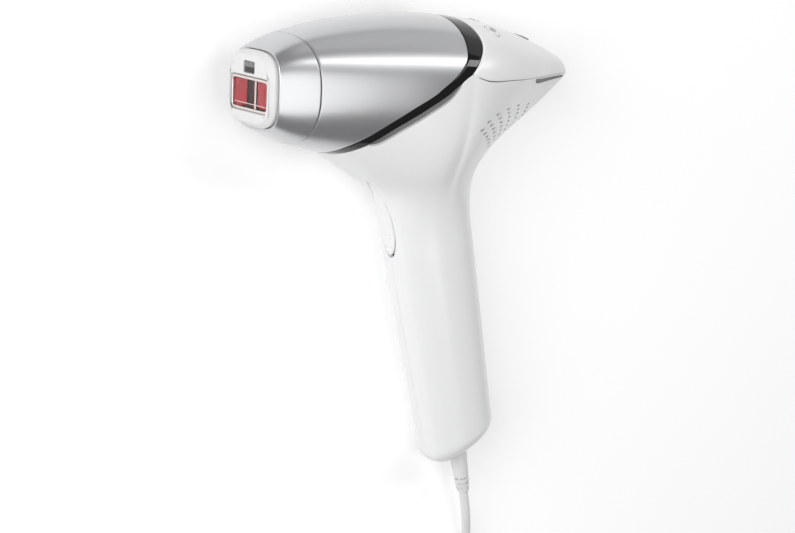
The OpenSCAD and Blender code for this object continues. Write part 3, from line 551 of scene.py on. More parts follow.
def trigger_grid(depth, grow=0.0, stretch=0.0, steps=70, across=41):
    """Grid over the pad at a depth under the skin; grow and stretch widen and lengthen it."""
    s = (1 - np.cos(np.linspace(0, np.pi, steps))) / 2
    c = np.sin(np.linspace(-np.pi / 2, np.pi / 2, across))
    row = (TRIGGER_TOP + (TRIGGER_BOTTOM - TRIGGER_TOP) * s + stretch * (2 * s - 1))[:, None]
    pad_half = np.maximum(trigger_half(s), 0.25)[:, None]
    half = (pad_half + grow) * np.abs(c)
    row = np.broadcast_to(row, half.shape)
    share = share_at(half, row)
    if callable(depth):
        from_end = np.minimum(s, 1 - s)[:, None] * 46 + 0.05
        depth = depth(np.minimum((1 - np.abs(c)) * pad_half, from_end))
    p = skin(share, row) - np.asarray(depth + 0 * half)[..., None] * skin_normal(share, row)
    p[..., 2] = np.sign(c) * np.abs(p[..., 2])
    return p


def dome(centre, normal, radius, height, sides=16, rings=6):
    """A small raised dot: a rounded cap sunk a little into the surface under it."""
    a = np.linspace(0, np.pi / 2, rings)
    profile = np.column_stack([radius * np.sin(a), height * np.cos(a)])
    profile = np.concatenate([profile, [[radius, -0.4], [0, -0.4]]])
    verts, faces = turned(profile, sides)
    first = unit(np.cross(normal, [0, 0, 1.0]))
    return centre + verts @ np.stack([first, np.cross(normal, first), normal]), faces


PROUD = 0.3
DOTS_AT = 0.93
DOTS = [(0, 0), (0.018, 1.9), (0.018, -1.9), (-0.018, 1.9), (-0.018, -1.9), (0.036, 0), (-0.036, 0)]
pad = wall(trigger_grid(lambda d: edge_depth(d, 0.7) - PROUD), trigger_grid(2.3))
dots = []
for d_row, half in DOTS:
    row = np.array([DOTS_AT + d_row])
    share = share_at(np.array([abs(half)]), row)
    place, normal = skin(share, row)[0], skin_normal(share, row)[0]
    side = np.array([1, 1, -1.0 if half < 0 else 1.0])
    dots.append(dome(place * side + PROUD * normal * side, normal * side, 0.6, 0.35))
trigger = add_piece("trigger_pad", *joined([pad, *dots]), sharp=40)

# %% [markdown]
# ## Openings in the housing
#
# Three kinds of opening are cut from the finished halves: the trigger's, the shallow recess under the
# trim where air is drawn in, and a field of slanted vent slots behind it. The slots are joined and cut
# in one go, because one Boolean keeps the skin's grid cleaner than thirty.

# %% Cutters
def vent_cutters(rows=6, columns=6, length=3.8, width=1.25, sides=24):
    """Closed stadium prisms across the skin, one per slot, all made as one array. Each slot lies
    across the line of the flare, turned a little towards the tail."""
    i, j = (v.ravel() for v in np.meshgrid(np.arange(columns), np.arange(rows), indexing="ij"))
    share = 0.58 + 0.02 * i + 0.008 * i ** 2 + (0.026 - 0.001 * i) * j
    row = 0.196 - 0.046 * i + 0.006 * i ** 2 + 0.021 * j + 0.0015 * j ** 2
    place, normal = skin(share, row), skin_normal(share, row)
    along = unit(skin(share, row + 0.01) - skin(share, row - 0.01))
    across = np.cross(normal, along)
    lengthways = unit(0.94 * across - 0.36 * along)
    sideways = np.cross(normal, lengthways)
    a = circle(sides)
    u = np.cos(a) * width / 2 + np.sign(np.round(np.cos(a), 6)) * (length - width) / 2
    v = np.sin(a) * width / 2
    outline = u[None, :, None] * lengthways[:, None] + v[None, :, None] * sideways[:, None]
    loops = [place[:, None] + grow * outline + out * normal[:, None]
             for grow, out in [(POLE, 2), (1, 2), (1, -4), (POLE, -4)]]
    return joined([(grid.reshape(-1, 3), quads_of(4, sides, True)) for grid in np.stack(loops, 1)])


RECESS_START, RECESS_SPAN = 0.15, 0.305
RECESS_WIDTH, RECESS_UNDER_TRIM = 3.4, 0.4


def recess_grid(depth, grow=0.0, steps=70, across=13):
    """Grid over the intake recess under the trim: a band along the rim that tapers at both ends."""
    c = np.linspace(0, 1, steps)
    share = RECESS_START + RECESS_SPAN * c
    width = np.maximum(RECESS_WIDTH * np.sqrt(1 - (2 * c - 1) ** 6) + grow, 0.4)
    k = np.linspace(0, 1, across)
    rim_point = skin(share, 0 * share)
    fall = unit(skin(share, 0 * share + 0.02) - rim_point)
    normal = skin_normal(share, 0 * share + 0.01)
    reach = (k[None, :] * width[:, None] - RECESS_UNDER_TRIM)[..., None]
    return rim_point[:, None] + reach * fall[:, None] - depth * normal[:, None]


TRIGGER_GAP = 0.4
opening = wall(trigger_grid(-3, TRIGGER_GAP, 0.01), trigger_grid(6, TRIGGER_GAP, 0.01))
vents, recess = vent_cutters(), wall(recess_grid(-1.5), recess_grid(1.5))
for piece, side in ((housing_left, 1), (housing_right, -1)):
    flip = np.array([1, 1, side])
    for name, (verts, faces) in (("opening", opening), ("vents", vents), ("recess", recess)):
        sided = verts if name == "opening" else verts * flip
        cut(piece, add_piece(name, sided, faces))
    print(piece.name, "after its openings:", len(piece.data.polygons), "faces")

liners = []
for name, side in (("intake_liner_left_skin", 1), ("intake_liner_right_skin", -1)):
    verts, faces = wall(recess_grid(0.9, -0.5), recess_grid(1.4, -0.5))
    liners.append(add_piece(name, verts * np.array([1, 1, side]), faces))

# %% [markdown]
# ## Rear cap and tail slot
#
# The cap closes the rear of the head from the trim to the tail. It is a curved patch of the head's
# skin whose side edges follow the rim of the housing. A few steps of a fixed-point rule find the angle
# at which each line of the patch leaves the trim.

# %% Rear cap
def cap_grid(depth, rows=120, across=121):
    """Patch of the head's skin: c runs across from rim to rim, s from the trim to the tail."""
    c = np.linspace(-1, 1, across)
    s = 1 - (1 - np.linspace(0, 1, rows)) ** 1.3
    edge_angle = np.full(across, 60.0)
    for _ in range(6):
        edge_angle = np.abs(c) * curve(curve(edge_angle, TRIM_REAR), CAP_EDGE)
    x0 = curve(edge_angle, TRIM_REAR) + SEAM_GAP
    x = x0 + (HEAD_LEN - x0) * s[:, None]
    angle = c * (curve(x, CAP_EDGE) - 0.8)
    if callable(depth):
        depth = depth(x - x0, (1 - np.abs(c)) * curve(x, FLANK) * 1.2)
    return head(x, angle, depth)


cap_outside = cap_grid(lambda along, across: edge_depth(np.minimum(along, across), 0.35))
cap = add_piece("rear_cap_shell", *wall(cap_outside, cap_grid(2)))


def crest_frame(x, z):
    """Point and axes on the crest at (x, z): columns along, across and outwards."""
    def point(x, z):
        e = curve(x, SQUARENESS)
        return np.array([x, curve(x, CREST) * (1 - (abs(z) / curve(x, FLANK)) ** e) ** (1 / e), z])

    out = unit(np.cross(point(x, z + 0.5) - point(x, z - 0.5), point(x + 0.5, z) - point(x - 0.5, z)))
    along = unit(np.cross(out, [0, 0, 1.0]))
    return point(x, z), np.stack([along, np.cross(out, along), out])


def on_crest(shape, x, z):
    """Verts and faces stood on the crest: their z becomes the outward normal."""
    verts, faces = shape
    origin, axes = crest_frame(x, z)
    return origin + verts @ axes, faces


# x, z and radius of each button
BUTTONS = {"button_left": (126, 16, 4), "button_centre": (126, 0, 4), "button_right": (126, -16, 4),
           "power_button": (155.5, 0, 5.1)}
for x, z, r in BUTTONS.values():
    hole = [(0, -8), (r + 0.35, -8), (r + 0.35, -0.25), (r + 0.7, 0.6), (r + 0.7, 3), (0, 3)]
    cut(cap, add_piece("hole", *on_crest(turned(hole, 48), x, z)))
print("rear cap:", len(cap.data.polygons), "faces")


TAIL_FRONT, TAIL_END = 154, 181


def tail_grid(depth, rows=40, across=9):
    """Strip along the cap's edge near the tail: its front end is round, and it narrows to the rear."""
    x = np.linspace(TAIL_FRONT, TAIL_END, rows)
    behind = x[:, None] - TAIL_FRONT
    rounding = np.sqrt(1 - 0.95 * (1 - np.minimum(behind / 1.4, 1)) ** 2)
    width = np.linspace(0.15, 2.3, across) * rounding * (1 - 0.6 * behind / (TAIL_END - TAIL_FRONT))
    p = np.repeat(head(x, curve(x, CAP_EDGE), depth)[:, None], across, 1)
    p[..., 1] -= width
    return p


tail_verts, tail_faces = wall(tail_grid(-0.2), tail_grid(1.6))
both_strips = joined([(tail_verts, tail_faces), (tail_verts * mirror, tail_faces[:, ::-1])])
tail_insert = add_piece("tail_slot_strips", *both_strips)

# %% [markdown]
# ## Buttons
#
# The buttons are small lenses with a rounded edge, turned from one profile and stood on the crest. Each
# carries one moulded sign: a few fine raised lines, swept along short paths.

# %% Buttons
def lens(r):
    """Button profile: stem, flange, a quarter-circle shoulder and a shallow dome."""
    t = np.linspace(0, np.pi / 2, 7)
    shoulder = np.column_stack([r - 0.35 + 0.35 * np.cos(t), -0.1 + 0.35 * np.sin(t)])
    across = np.linspace(r - 0.35, 0, 9)[1:]
    top = np.column_stack([across, 0.25 + 0.15 * (((r - 0.35) / r) ** 2 - (across / r) ** 2)])
    return np.concatenate([[(0, -6), (1.5, -6), (1.5, -2.2), (r, -2.2)], shoulder, top])


def ring_line(radius, start, end, count=40):
    """Path of a raised line along an arc, from one angle to another in degrees."""
    a = np.radians(np.linspace(start, end, count))
    return np.column_stack([radius * np.cos(a), radius * np.sin(a), 0.34 + 0 * a])


BAR = np.array([[-0.7, 0, 0.37], [0.7, 0, 0.37]])
SIGNS = {"button_left": [ring_line(1.5, 0, 360), BAR],
         "button_centre": [ring_line(1.5, 0, 360), BAR, BAR[:, [1, 0, 2]]],
         "button_right": [ring_line(1.5, 40, 320)],
         "power_button": [ring_line(1.9, 125, 415), np.array([[-0.7, 0, 0.38], [-2.4, 0, 0.33]])]}
buttons, signs = {}, {}
for name, (x, z, r) in BUTTONS.items():
    buttons[name] = add_piece(name + "_lens", *on_crest(turned(lens(r), 72), x, z))
    lines = joined([swept(through(path, 6), 0.14, 8) for path in SIGNS[name]])
    signs[name] = add_piece(name + "_sign", *on_crest(lines, x, z))

# %% [markdown]
# ## Contact face
#
# The white ring has a wide bevel on the outside and a rounded step into the window. Both outlines are
# functions of one angle, so every loop of the profile has the same number of points.

# %% Contact ring, sensor, frame and filter
AROUND = circle(360)
WINDOW_Y, WINDOW_HALF = -2, (7, 14.3)
SENSOR_Y = 10.2


def outline(x, sunk, at=4.0):
    """The head's outline near the nose, drawn in, and placed at x."""
    p = head(at, np.degrees(AROUND), sunk)
    return np.column_stack([0 * AROUND + x, p[:, 1:]])


def boxed(x, margin, centre=WINDOW_Y, half=WINDOW_HALF, power=14):
    """Rounded rectangle at x, at a margin round the window or another centre and half size."""
    r = box_radius(AROUND, half[0] + margin, half[1] + margin, power)
    return np.column_stack([0 * AROUND + x, centre + r * np.cos(AROUND), r * np.sin(AROUND)])


RING_OUTSIDE = [(5.2, 1.25), (3.3, 1.25), (3.2, 1.02), (2.9, 0.95), (2.5, 1.1), (2.1, 1.35), (0.6, 2.65),
                (0.3, 2.95), (0.1, 3.25), (0, 3.6)]
RING_INSIDE = [(0, 1.9), (0.06, 1.55), (0.22, 1.3), (0.5, 1.1), (0.8, 1.0), (5.2, 1.0)]
ring_loops = [outline(x, sunk) for x, sunk in RING_OUTSIDE] + [boxed(x, margin) for x, margin in RING_INSIDE]
contact_ring = add_piece("contact_ring_face", *ringed(ring_loops), sharp=50)


def slab(x0, x1, loops_of, edge=0.3):
    """Closed plate between x0 and x1 with quarter-round edges; loops_of(x, sunk) gives its outline."""
    t = np.linspace(0, np.pi / 2, 5)
    front = [loops_of(x0 + edge * (1 - math.sin(v)), edge * (1 - math.cos(v))) for v in t]
    back = [loops_of(x1 - edge * (1 - math.sin(v)), edge * (1 - math.cos(v))) for v in t]
    hub = np.repeat([[x0, *front[-1].mean(0)[1:]]], len(AROUND), 0)
    grid = np.array([hub, *front[::-1], *back, hub + [x1 - x0, 0, 0]])
    return grid.reshape(-1, 3), quads_of(len(grid), len(AROUND), True)


pocket = slab(-1, 2.3, lambda x, sunk: boxed(x, -sunk, SENSOR_Y, (2.8, 4.5), 10), 0.05)
cut(contact_ring, add_piece("pocket", *pocket), sharp=50)
lens_slab = slab(0.35, 2.2, lambda x, sunk: boxed(x, -sunk, SENSOR_Y, (2.65, 4.35), 10), 0.35)
sensor = add_piece("sensor_lens", *lens_slab)
RIM_PROFILE = [(6.4, 0.7), (0.8, 0.7), (0.6, 0.6), (0.5, 0.4), (0.5, -0.3), (0.6, -0.5), (0.8, -0.6),
               (2.1, -0.6), (2.2, 0.15), (6.4, 0.15)]
rim_loops = [boxed(x, margin) for x, margin in RIM_PROFILE]
filter_frame = add_piece("filter_rim", *ringed(rim_loops), sharp=40)
filter_glass = add_piece("filter_pane", *slab(0.95, 1.5, lambda x, sunk: boxed(x, -0.7 - sunk), 0.15))

# %% [markdown]
# Behind the pane lies a light guide. Thin plates just behind the glass show its parts: red plates with a
# painted reflection of the red coating in its mirror walls, an upright rib with a fine line across the foot,
# and a dark ground.

# %% Light guide behind the pane
def plate(y0, y1, z0, z1, x0, x1, edge=0.12):
    """Closed plate with rounded edges between two corners, y up and z across the window."""
    cy, cz, hy, hz = (y0 + y1) / 2, (z0 + z1) / 2, (y1 - y0) / 2, (z1 - z0) / 2
    return slab(x0, x1, lambda x, sunk: boxed(x, -sunk, cy, (hy, hz), 24) + [0, 0, cz], edge)


# The three red plates are painted reflection: flat red where the guide's mirror walls reflect the red
# coating.
fields = [plate(-7.6, 4.8, -13.9, -3.6, 1.9, 2.3), plate(-7.6, 4.8, 5.0, 13.9, 1.9, 2.3),
          plate(-8.9, -6.6, -12, -7, 1.7, 1.9)]
rib = [plate(-8.9, 4.9, 2.9, 4.1, 1.55, 1.85), plate(-6.75, -6.4, -13.9, 13.9, 1.6, 1.7, 0.04)]
red_reflection_plates = add_piece("light_guide_painted_reflection", *joined(fields))
guide_rib = add_piece("light_guide_rib", *joined(rib))
guide_dark = add_piece("light_guide_ground", *plate(-9, 5, -14, 14, 2.4, 3.0))
sensor_mask = add_piece("sensor_mask", *plate(7.9, 10.2, -3.7, 3.7, 0.28, 0.34, 0.03))


# %% [markdown]
# ## Strain relief
#
# A soft sleeve guards the cord where it leaves the handle. Its lower part is slotted in three rows so it
# can bend, and ends in a lip. The sleeve is turned, and the slots are short arcs cut out of its wall.

# %% Strain relief
def in_handle(points):
    """Handle frame to device frame: z runs down the handle, x to the rear and y to the left."""
    p = np.asarray(points, float)
    return NECK + p[..., 2:3] * DOWN + p[..., 0:1] * REARWARD + p[..., 1:2] * LEFTWARD


RELIEF_TIP = 130
RELIEF = [(0, 84), (3.2, 84), (3.2, 97.5), (6.4, 97.6), (6.4, 99.4), (5, 99.6), (4.85, 102), (4.6, 106),
          (4.4, 110), (4.2, 114), (3.97, 117.5), (3.75, 121), (3.6, 123), (3.45, 125.6), (3.25, 127.6),
          (3.15, 128.4), (3.05, 128.7), (3.1, 129), (3.08, 129.5), (2.9, 129.85), (2.6, RELIEF_TIP),
          (0, RELIEF_TIP)]
SLOT_ROWS = [(122.4, 10), (125.1, 46), (127.6, 10)]
SLOT_SWEEP, SLOT_STEP = 56, 72


def arc_cutter(height, start, sweep, low=2.35, high=6, tall=1.2, steps=17):
    """Closed block between two radii and two heights, over a sweep of angle round the sleeve."""
    a = np.radians(np.linspace(start, start + sweep, steps))
    corners = [(low, -tall / 2), (high, -tall / 2), (high, tall / 2), (low, tall / 2)]
    sides = [np.column_stack([r * np.cos(a), r * np.sin(a), height + h + 0 * a]) for r, h in corners]
    loop = np.stack(sides, 1)
    first, last = (np.broadcast_to(loop[k].mean(0), (1, *loop[k].shape)) for k in (0, -1))
    grid = np.concatenate([first, loop, last])
    return grid.reshape(-1, 3), quads_of(len(grid), 4, True)


relief_verts, relief_faces = turned(RELIEF, 64)
relief = add_piece("strain_relief_sleeve", in_handle(relief_verts), relief_faces, sharp=45)
slots = [arc_cutter(height, start + step, SLOT_SWEEP)
         for height, start in SLOT_ROWS for step in range(0, 360, SLOT_STEP)]
slot_verts, slot_faces = joined(slots)
cut(relief, add_piece("slots", in_handle(slot_verts), slot_faces), sharp=45)

# %% [markdown]
# ## Coil tie, adapter and pins
#
# The adapter is a plain moulded block with round corners and a fine parting groove. The tie is a soft
# band round the coil.

# %% Tie and adapter
def block(centre, half, edge=2.5, groove=0.35, steps=160):
    """Closed block: loops of one rounded rectangle from the bottom to the top, quarter-round at both
    ends, with a narrow groove half way up."""
    a = circle(steps)
    r = box_radius(a, half[0], half[1], 7)
    t = np.linspace(0, np.pi / 2, 8)
    rows = [(edge * (1 - math.sin(v)), edge * (1 - math.cos(v))) for v in t[::-1]]
    middle = [(half[2] - groove, 0), (half[2] - groove / 2, groove), (half[2] + groove / 2, groove),
              (half[2] + groove, 0)]
    rows = rows + middle + [(2 * half[2] - z, sunk) for z, sunk in rows[::-1]]
    c, s = np.cos(a), np.sin(a)
    loops = [np.column_stack([(r - sunk) * c, (r - sunk) * s, z - half[2] + 0 * a]) for z, sunk in rows]
    grid = np.array([loops[0] * [0, 0, 1], *loops, loops[-1] * [0, 0, 1]]) + centre
    return grid.reshape(-1, 3), quads_of(len(grid), steps, True)


ADAPTER = np.array([-57, -233, 19])
ADAPTER_HALF = (25, 14, 19)
PIN_OUT = 9.3
PIN = [(0, -14), (1.6, -14), (1.6, 0), (2, 0.02), (2, 16.6), (1.92, 17.4), (1.7, 18.1), (1.3, 18.65),
       (0.7, 18.95), (0, 19)]
adapter = add_piece("adapter_body", *block(ADAPTER, ADAPTER_HALF), already_laid=True)
pin_verts, pin_faces = turned(PIN, 40)
pin_verts = pin_verts[:, [0, 2, 1]] * [1, -1, 1] + ADAPTER - [0, ADAPTER_HALF[1], 0]
pin_pair = joined([(pin_verts + [side * PIN_OUT, 0, 0], pin_faces) for side in (-1, 1)])
pins = add_piece("adapter_plug_pins", *pin_pair, already_laid=True)

SLEEVE_LEN, SLEEVE_ROOT_R, SLEEVE_TAPER = 15.6, 4.8, 1.6
SLEEVE_AT = np.array([-32, -230, 7.5])
sleeve_z = np.linspace(0, SLEEVE_LEN, 60)
notched = (np.sin(sleeve_z * 2.2) > 0.2) * (sleeve_z > 3) * (sleeve_z < 14.5)
sleeve_r = SLEEVE_ROOT_R - SLEEVE_TAPER * sleeve_z / SLEEVE_LEN - 0.3 * notched
sleeve_verts, sleeve_faces = turned([(0, 0), *zip(sleeve_r, sleeve_z), (0, 16)], 48)
sleeve_verts = sleeve_verts[:, [2, 0, 1]] + SLEEVE_AT
sleeve = add_piece("adapter_sleeve", sleeve_verts, sleeve_faces, already_laid=True)


def tie_band(width=8.0, turn_deg=125.0):
    """Soft band round the coil's section: loops of a rounded rectangle, inner and outer, both edges."""
    half_r, half_h = TURNS_WIDE * CORD_D / 2, TURNS_HIGH * CORD_D / 2
    a = circle(120)
    loops = []
    for grow, side in [(0.1, -1), (0.6, -1), (0.75, -0.96), (0.75, 0.96), (0.6, 1), (0.1, 1)]:
        r = box_radius(a, half_r + grow, half_h + grow, 9)
        loops.append(np.column_stack([COIL_R + r * np.cos(a), side * width / 2 + 0 * a,
                                      COIL_LOW + half_h + r * np.sin(a)]))
    verts, faces = ringed(loops)
    c, s = math.cos(math.radians(turn_deg)), math.sin(math.radians(turn_deg))
    x, y, z = verts.T
    return np.column_stack([x * c - y * s + COIL_AT[0], x * s + y * c + COIL_AT[1], z]), faces


tie = add_piece("coil_tie", *tie_band(), already_laid=True)

# %% [markdown]
# ## Finishes
#
# One node group gives a surface its small unevenness: a cloudy change of colour, a change of roughness
# and a fine height. A second group gives metallic lacquer its flakes. The shader and its constants stay
# in each material.

# %% Node groups
def new_group(name, inputs, outputs):
    """An empty node group with its sockets, each of kind Color or Float."""
    group = bpy.data.node_groups.new(name, "ShaderNodeTree")
    for label, kind, value in inputs:
        socket = group.interface.new_socket(label, in_out="INPUT", socket_type="NodeSocket" + kind)
        socket.default_value = value
    for label, kind in outputs:
        group.interface.new_socket(label, in_out="OUTPUT", socket_type="NodeSocket" + kind)
    nodes = group.nodes
    return group, nodes, group.links.new, nodes.new("NodeGroupInput"), nodes.new("NodeGroupOutput")


def surface_group():
    """Colour, roughness and height of a lightly uneven surface, from two sizes of noise."""
    group, nodes, link, given, result = new_group(
        "uneven_surface",
        [("Colour", "Color", (0.8, 0.8, 0.8, 1)), ("Shade", "Color", (0.7, 0.7, 0.7, 1)),
         ("Amount", "Float", 0.3), ("Grain Scale", "Float", 900), ("Smooth", "Float", 0.2),
         ("Rough", "Float", 0.3)],
        [("Colour", "Color"), ("Roughness", "Float"), ("Height", "Float")])
    place = nodes.new("ShaderNodeTexCoord")
    cloud = nodes.new("ShaderNodeTexNoise")
    cloud.inputs["Scale"].default_value = 28
    cloud.inputs["Detail"].default_value = 4
    grain = nodes.new("ShaderNodeTexNoise")
    grain.inputs["Detail"].default_value = 2
    link(place.outputs["Object"], cloud.inputs["Vector"])
    link(place.outputs["Object"], grain.inputs["Vector"])
    link(given.outputs["Grain Scale"], grain.inputs["Scale"])
    share = nodes.new("ShaderNodeMath")
    share.operation = "MULTIPLY"
    link(cloud.outputs["Fac"], share.inputs[0])
    link(given.outputs["Amount"], share.inputs[1])
    mix = nodes.new("ShaderNodeMix")
    mix.data_type = "RGBA"
    link(share.outputs[0], mix.inputs["Factor"])
    link(given.outputs["Colour"], mix.inputs["A"])
    link(given.outputs["Shade"], mix.inputs["B"])
    link(mix.outputs["Result"], result.inputs["Colour"])
    rough = nodes.new("ShaderNodeMapRange")
    link(grain.outputs["Fac"], rough.inputs["Value"])
    link(given.outputs["Smooth"], rough.inputs["To Min"])
    link(given.outputs["Rough"], rough.inputs["To Max"])
    link(rough.outputs["Result"], result.inputs["Roughness"])
    link(grain.outputs["Fac"], result.inputs["Height"])
    return group


def flake_group():
    """A mask of tiny random cells for metallic lacquer."""
    group, nodes, link, given, result = new_group(
        "lacquer_flakes", [("Scale", "Float", 4000), ("Low", "Float", 0.7), ("High", "Float", 0.95)],
        [("Metallic", "Float")])
    place = nodes.new("ShaderNodeTexCoord")
    cells = nodes.new("ShaderNodeTexVoronoi")
    link(place.outputs["Object"], cells.inputs["Vector"])
    link(given.outputs["Scale"], cells.inputs["Scale"])
    spread = nodes.new("ShaderNodeMapRange")
    link(cells.outputs["Distance"], spread.inputs["Value"])
    link(given.outputs["Low"], spread.inputs["To Min"])
    link(given.outputs["High"], spread.inputs["To Max"])
    link(spread.outputs["Result"], result.inputs["Metallic"])
    return group


uneven, flakes = surface_group(), flake_group()
FINISHES = {}


def finish(name, colour, shade, smooth, rough, amount=0.5, grain=3500, bump=0.01, **constants):
    """Adds a material to FINISHES: the shared unevenness round a Principled shader. constants are set on
    the shader's own sockets, such as Metallic or Coat Weight."""
    material = FINISHES[name] = bpy.data.materials.new(name)
    material.use_nodes = True
    nodes, link = material.node_tree.nodes, material.node_tree.links.new
    shader = nodes["Principled BSDF"]
    surface = nodes.new("ShaderNodeGroup")
    surface.node_tree = uneven
    surface.inputs["Colour"].default_value = (*colour, 1)
    surface.inputs["Shade"].default_value = (*shade, 1)
    for label, value in (("Amount", amount), ("Grain Scale", grain), ("Smooth", smooth), ("Rough", rough)):
        surface.inputs[label].default_value = value
    height = nodes.new("ShaderNodeBump")
    height.inputs["Strength"].default_value = bump
    height.inputs["Distance"].default_value = 0.00006
    link(surface.outputs["Colour"], shader.inputs["Base Color"])
    link(surface.outputs["Roughness"], shader.inputs["Roughness"])
    link(surface.outputs["Height"], height.inputs["Height"])
    link(height.outputs["Normal"], shader.inputs["Normal"])
    for label, value in constants.items():
        shader.inputs[label.replace("_", " ")].default_value = value


# %% Materials by slot
def grey(v, tint=0.0):
    """A grey whose green and blue are raised by one and two tints."""
    return (v, v + tint, v + 2 * tint)


finish("housing_white", grey(0.82, 0.004), grey(0.80, 0.004), 0.28, 0.31, Coat_Weight=0.15)
finish("cap_white", grey(0.86, 0.003), grey(0.84, 0.003), 0.27, 0.30, bump=0.0, Coat_Weight=0.15)
finish("trim_black", grey(0.006), grey(0.01), 0.03, 0.07, grain=60, bump=0.0)
finish("cover_silver", (0.56, 0.565, 0.575), (0.52, 0.525, 0.535), 0.28, 0.36, grain=2500,
        Coat_Weight=0.5, Coat_Roughness=0.12)
finish("ring_white", grey(0.72), grey(0.69), 0.4, 0.55, grain=2500, bump=0.06)
finish("sensor_smoke", grey(0.10), grey(0.14), 0.05, 0.1, grain=80, Coat_Weight=1.0)
finish("frame_metal", (0.75, 0.68, 0.66), (0.68, 0.6, 0.58), 0.2, 0.3, grain=3000, Metallic=1.0)
finish("glass_red", (1.0, 0.86, 0.86), (0.98, 0.8, 0.8), 0.0, 0.02, grain=40, bump=0.0,
        Transmission_Weight=1.0, IOR=1.15)
finish("glass_clear", grey(0.95), grey(0.9), 0.0, 0.02, grain=40, bump=0.0, Transmission_Weight=1.0,
        IOR=1.5)
finish("contacts_gold", (0.85, 0.62, 0.28), (0.75, 0.5, 0.2), 0.2, 0.35, Metallic=1.0)
finish("spring_steel", grey(0.55), grey(0.45), 0.25, 0.4, grain=3000, Metallic=1.0)
finish("engine_black", grey(0.02), grey(0.035), 0.4, 0.55, grain=1500, bump=0.08)
finish("frame_grey", grey(0.09), grey(0.12), 0.4, 0.55, grain=1500, bump=0.08)
finish("mirror_trough", grey(0.85), grey(0.78), 0.03, 0.08, grain=200, Metallic=1.0)
finish("sink_aluminium", grey(0.6), grey(0.52), 0.3, 0.45, grain=2500, Metallic=1.0)
finish("ceramic", (0.85, 0.83, 0.78), (0.78, 0.75, 0.7), 0.3, 0.45)
finish("screw_steel", grey(0.5), grey(0.42), 0.2, 0.35, grain=3000, Metallic=1.0)
finish("copper_brown", (0.45, 0.2, 0.09), (0.35, 0.14, 0.06), 0.3, 0.45, Metallic=0.8)
finish("board_green", (0.02, 0.13, 0.06), (0.03, 0.18, 0.08), 0.3, 0.45, grain=400)
finish("capacitor_blue", (0.02, 0.04, 0.13), (0.03, 0.05, 0.17), 0.25, 0.35)
finish("tape_yellow", (0.75, 0.55, 0.12), (0.65, 0.45, 0.08), 0.35, 0.5)
finish("lead_red", (0.5, 0.03, 0.02), (0.4, 0.02, 0.02), 0.35, 0.5)
finish("button_white", grey(0.8), grey(0.76), 0.18, 0.28, Coat_Weight=0.3)
finish("power_grey", grey(0.35), grey(0.3), 0.15, 0.25, Coat_Weight=0.5)
finish("trigger_white", grey(0.83), grey(0.81), 0.27, 0.30, bump=0.0, Coat_Weight=0.15)
finish("slot_grey", grey(0.15), grey(0.19), 0.25, 0.4)
finish("cord_grey", grey(0.74), grey(0.70), 0.35, 0.5, grain=1800, bump=0.08)
finish("tie_black", grey(0.02), grey(0.03), 0.5, 0.7, grain=2500, bump=0.2)
finish("adapter_white", grey(0.76), grey(0.72), 0.4, 0.55, grain=1800, bump=0.1)
finish("pin_nickel", grey(0.68), grey(0.6), 0.12, 0.22, grain=3000, Metallic=1.0)
# Red of the painted reflection of the coating in the light guide's walls.
finish("painted_reflection_red", (0.5, 0.008, 0.03), (0.32, 0.004, 0.012), 0.1, 0.25, amount=1.0, Coat_Weight=0.5)
finish("rib_white", grey(0.95), grey(0.85), 0.1, 0.2, Coat_Weight=0.5)
finish("sign_ink", grey(0.06), grey(0.09), 0.4, 0.5)
silver = FINISHES["cover_silver"].node_tree
flake = silver.nodes.new("ShaderNodeGroup")
flake.node_tree = flakes
silver.links.new(flake.outputs["Metallic"], silver.nodes["Principled BSDF"].inputs["Metallic"])

# %% [markdown]
# ## Putting the pieces on their bodies
#
# Each new piece rides the body of the CAD node it stands for and takes that node's finish. All the other
# CAD nodes stay as they are and only get their material.

# %% Pieces, bodies and finishes
slot_of = {part["node"]: part["material_slot"] for part in frame["record"]["subparts"]}
for node, piece in frame["nodes"].items():
    piece.data.materials.clear()
    piece.data.materials.append(FINISHES[slot_of[node]])

body_of = {node: body for body, nodes in frame["record"]["behaviour"]["bodies"].items() for node in nodes}
STANDS_FOR = [
    (cord, "mains_cord", "cord_coil"), (cover, "main_cover"), (trim, "trim_band"),
    (attachment, "attachment_shell"), (housing_left, "housing_left"), (housing_right, "housing_right"),
    (liners[0], "intake_liner_left"), (liners[1], "intake_liner_right"), (cap, "rear_top_cap"),
    (tail_insert, "tail_slot_insert"), (contact_ring, "contact_ring"), (sensor, "skin_sensor_window"),
    (filter_frame, "filter_frame"), (filter_glass, "filter_glass"), (trigger, "trigger"),
    (relief, "strain_relief"), (adapter, "adapter_case"), (pins, "adapter_pins"),
    (sleeve, "adapter_strain_relief"), (tie, "cord_tie")] + [(buttons[name], name) for name in BUTTONS]
for piece, *nodes in STANDS_FOR:
    slot = slot_of[nodes[0]]
    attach(piece, body_of[nodes[0]])
    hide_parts(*nodes)
    piece.data.materials.append(FINISHES[slot])
DETAILS = [(signs[name], name, "sign_ink") for name in BUTTONS]
# The red plates in the light guide carry a painted reflection.
DETAILS += [(sensor_mask, "contact_ring", "engine_black"), (red_reflection_plates, "attachment", "painted_reflection_red"),
            (guide_rib, "attachment", "rib_white"), (guide_dark, "attachment", "engine_black")]
for piece, body, look in DETAILS:
    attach(piece, body)
    piece.data.materials.append(FINISHES[look])

# %% [markdown]
# ## Studio
#
# A white table, faintly lit from inside as product tables are. A soft light stands at the nose side, one
# hangs above, a weak one is behind the crest, and a long narrow strip draws the bright line along the
# silver head. The world is a dim grey, so that the black trim stays dark.

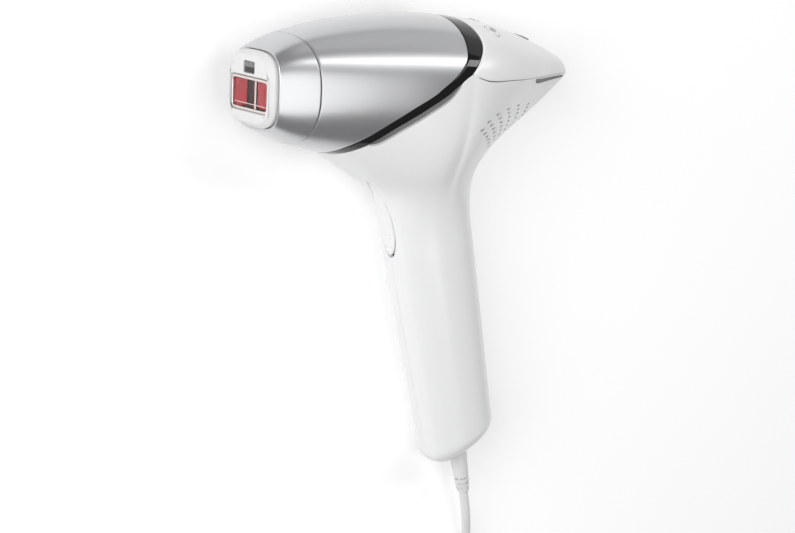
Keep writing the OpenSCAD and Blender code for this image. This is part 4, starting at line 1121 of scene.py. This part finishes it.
# %% Floor and lights
def floor_grid(half=1.6, steps=41):
    """A level square with a very shallow rise far away, as paper on a table has."""
    v = np.linspace(-half, half, steps)
    x, y = np.meshgrid(v, v, indexing="ij")
    return np.stack([x, y, 0.02 * np.clip(np.hypot(x, y) - 1, 0, 1) ** 2 - 0.00005], -1).reshape(-1, 3)


floor_mesh = bpy.data.meshes.new("table")
floor_mesh.from_pydata(floor_grid().tolist(), [], quads_of(41, 41).tolist())
floor_mesh.shade_smooth()
floor = bpy.data.objects.new("table", floor_mesh)
finish("lit_table", grey(0.9), grey(0.88), 0.7, 0.85, grain=300, bump=0.0, Emission_Color=(1, 1, 1, 1),
       Emission_Strength=0.2)
floor_mesh.materials.append(FINISHES["lit_table"])
bpy.context.scene.collection.objects.link(floor)


LIT_POINT = np.array([0, 0.03, 0.03])


def soft_light(name, direction, distance, size, power):
    """A rectangular light that looks at the middle of the device from a direction; its long side runs
    along the head."""
    data = bpy.data.lights.new(name, "AREA")
    data.shape = "RECTANGLE"
    data.size, data.size_y = size
    data.energy = power
    lamp = bpy.data.objects.new(name, data)
    z = unit(np.array(direction, float))
    x = unit(np.array([1, 0, 0]) - z[0] * z)
    matrix = np.eye(4)
    matrix[:3, 0], matrix[:3, 1], matrix[:3, 2] = x, np.cross(z, x), z
    matrix[:3, 3] = LIT_POINT + distance * z
    lamp.matrix_world = Matrix(matrix.tolist())
    bpy.context.scene.collection.objects.link(lamp)


soft_light("key", (-0.85, 0.15, 0.6), 1.3, (1.0, 0.9), 12)
soft_light("top", (-0.05, -0.2, 1.0), 1.3, (0.9, 0.9), 5)
soft_light("rear", (0.5, 0.85, 0.35), 1.3, (1.2, 0.8), 1.6)
soft_light("strip", (0.55, 0.39, 0.74), 1.2, (1.3, 0.2), 4)
world = bpy.data.worlds.new("studio")
world.use_nodes = True
world.node_tree.nodes["Background"].inputs["Color"].default_value = (1, 1, 1, 1)
world.node_tree.nodes["Background"].inputs["Strength"].default_value = 0.16
bpy.context.scene.world = world
bpy.context.scene.view_settings.view_transform = "Standard"
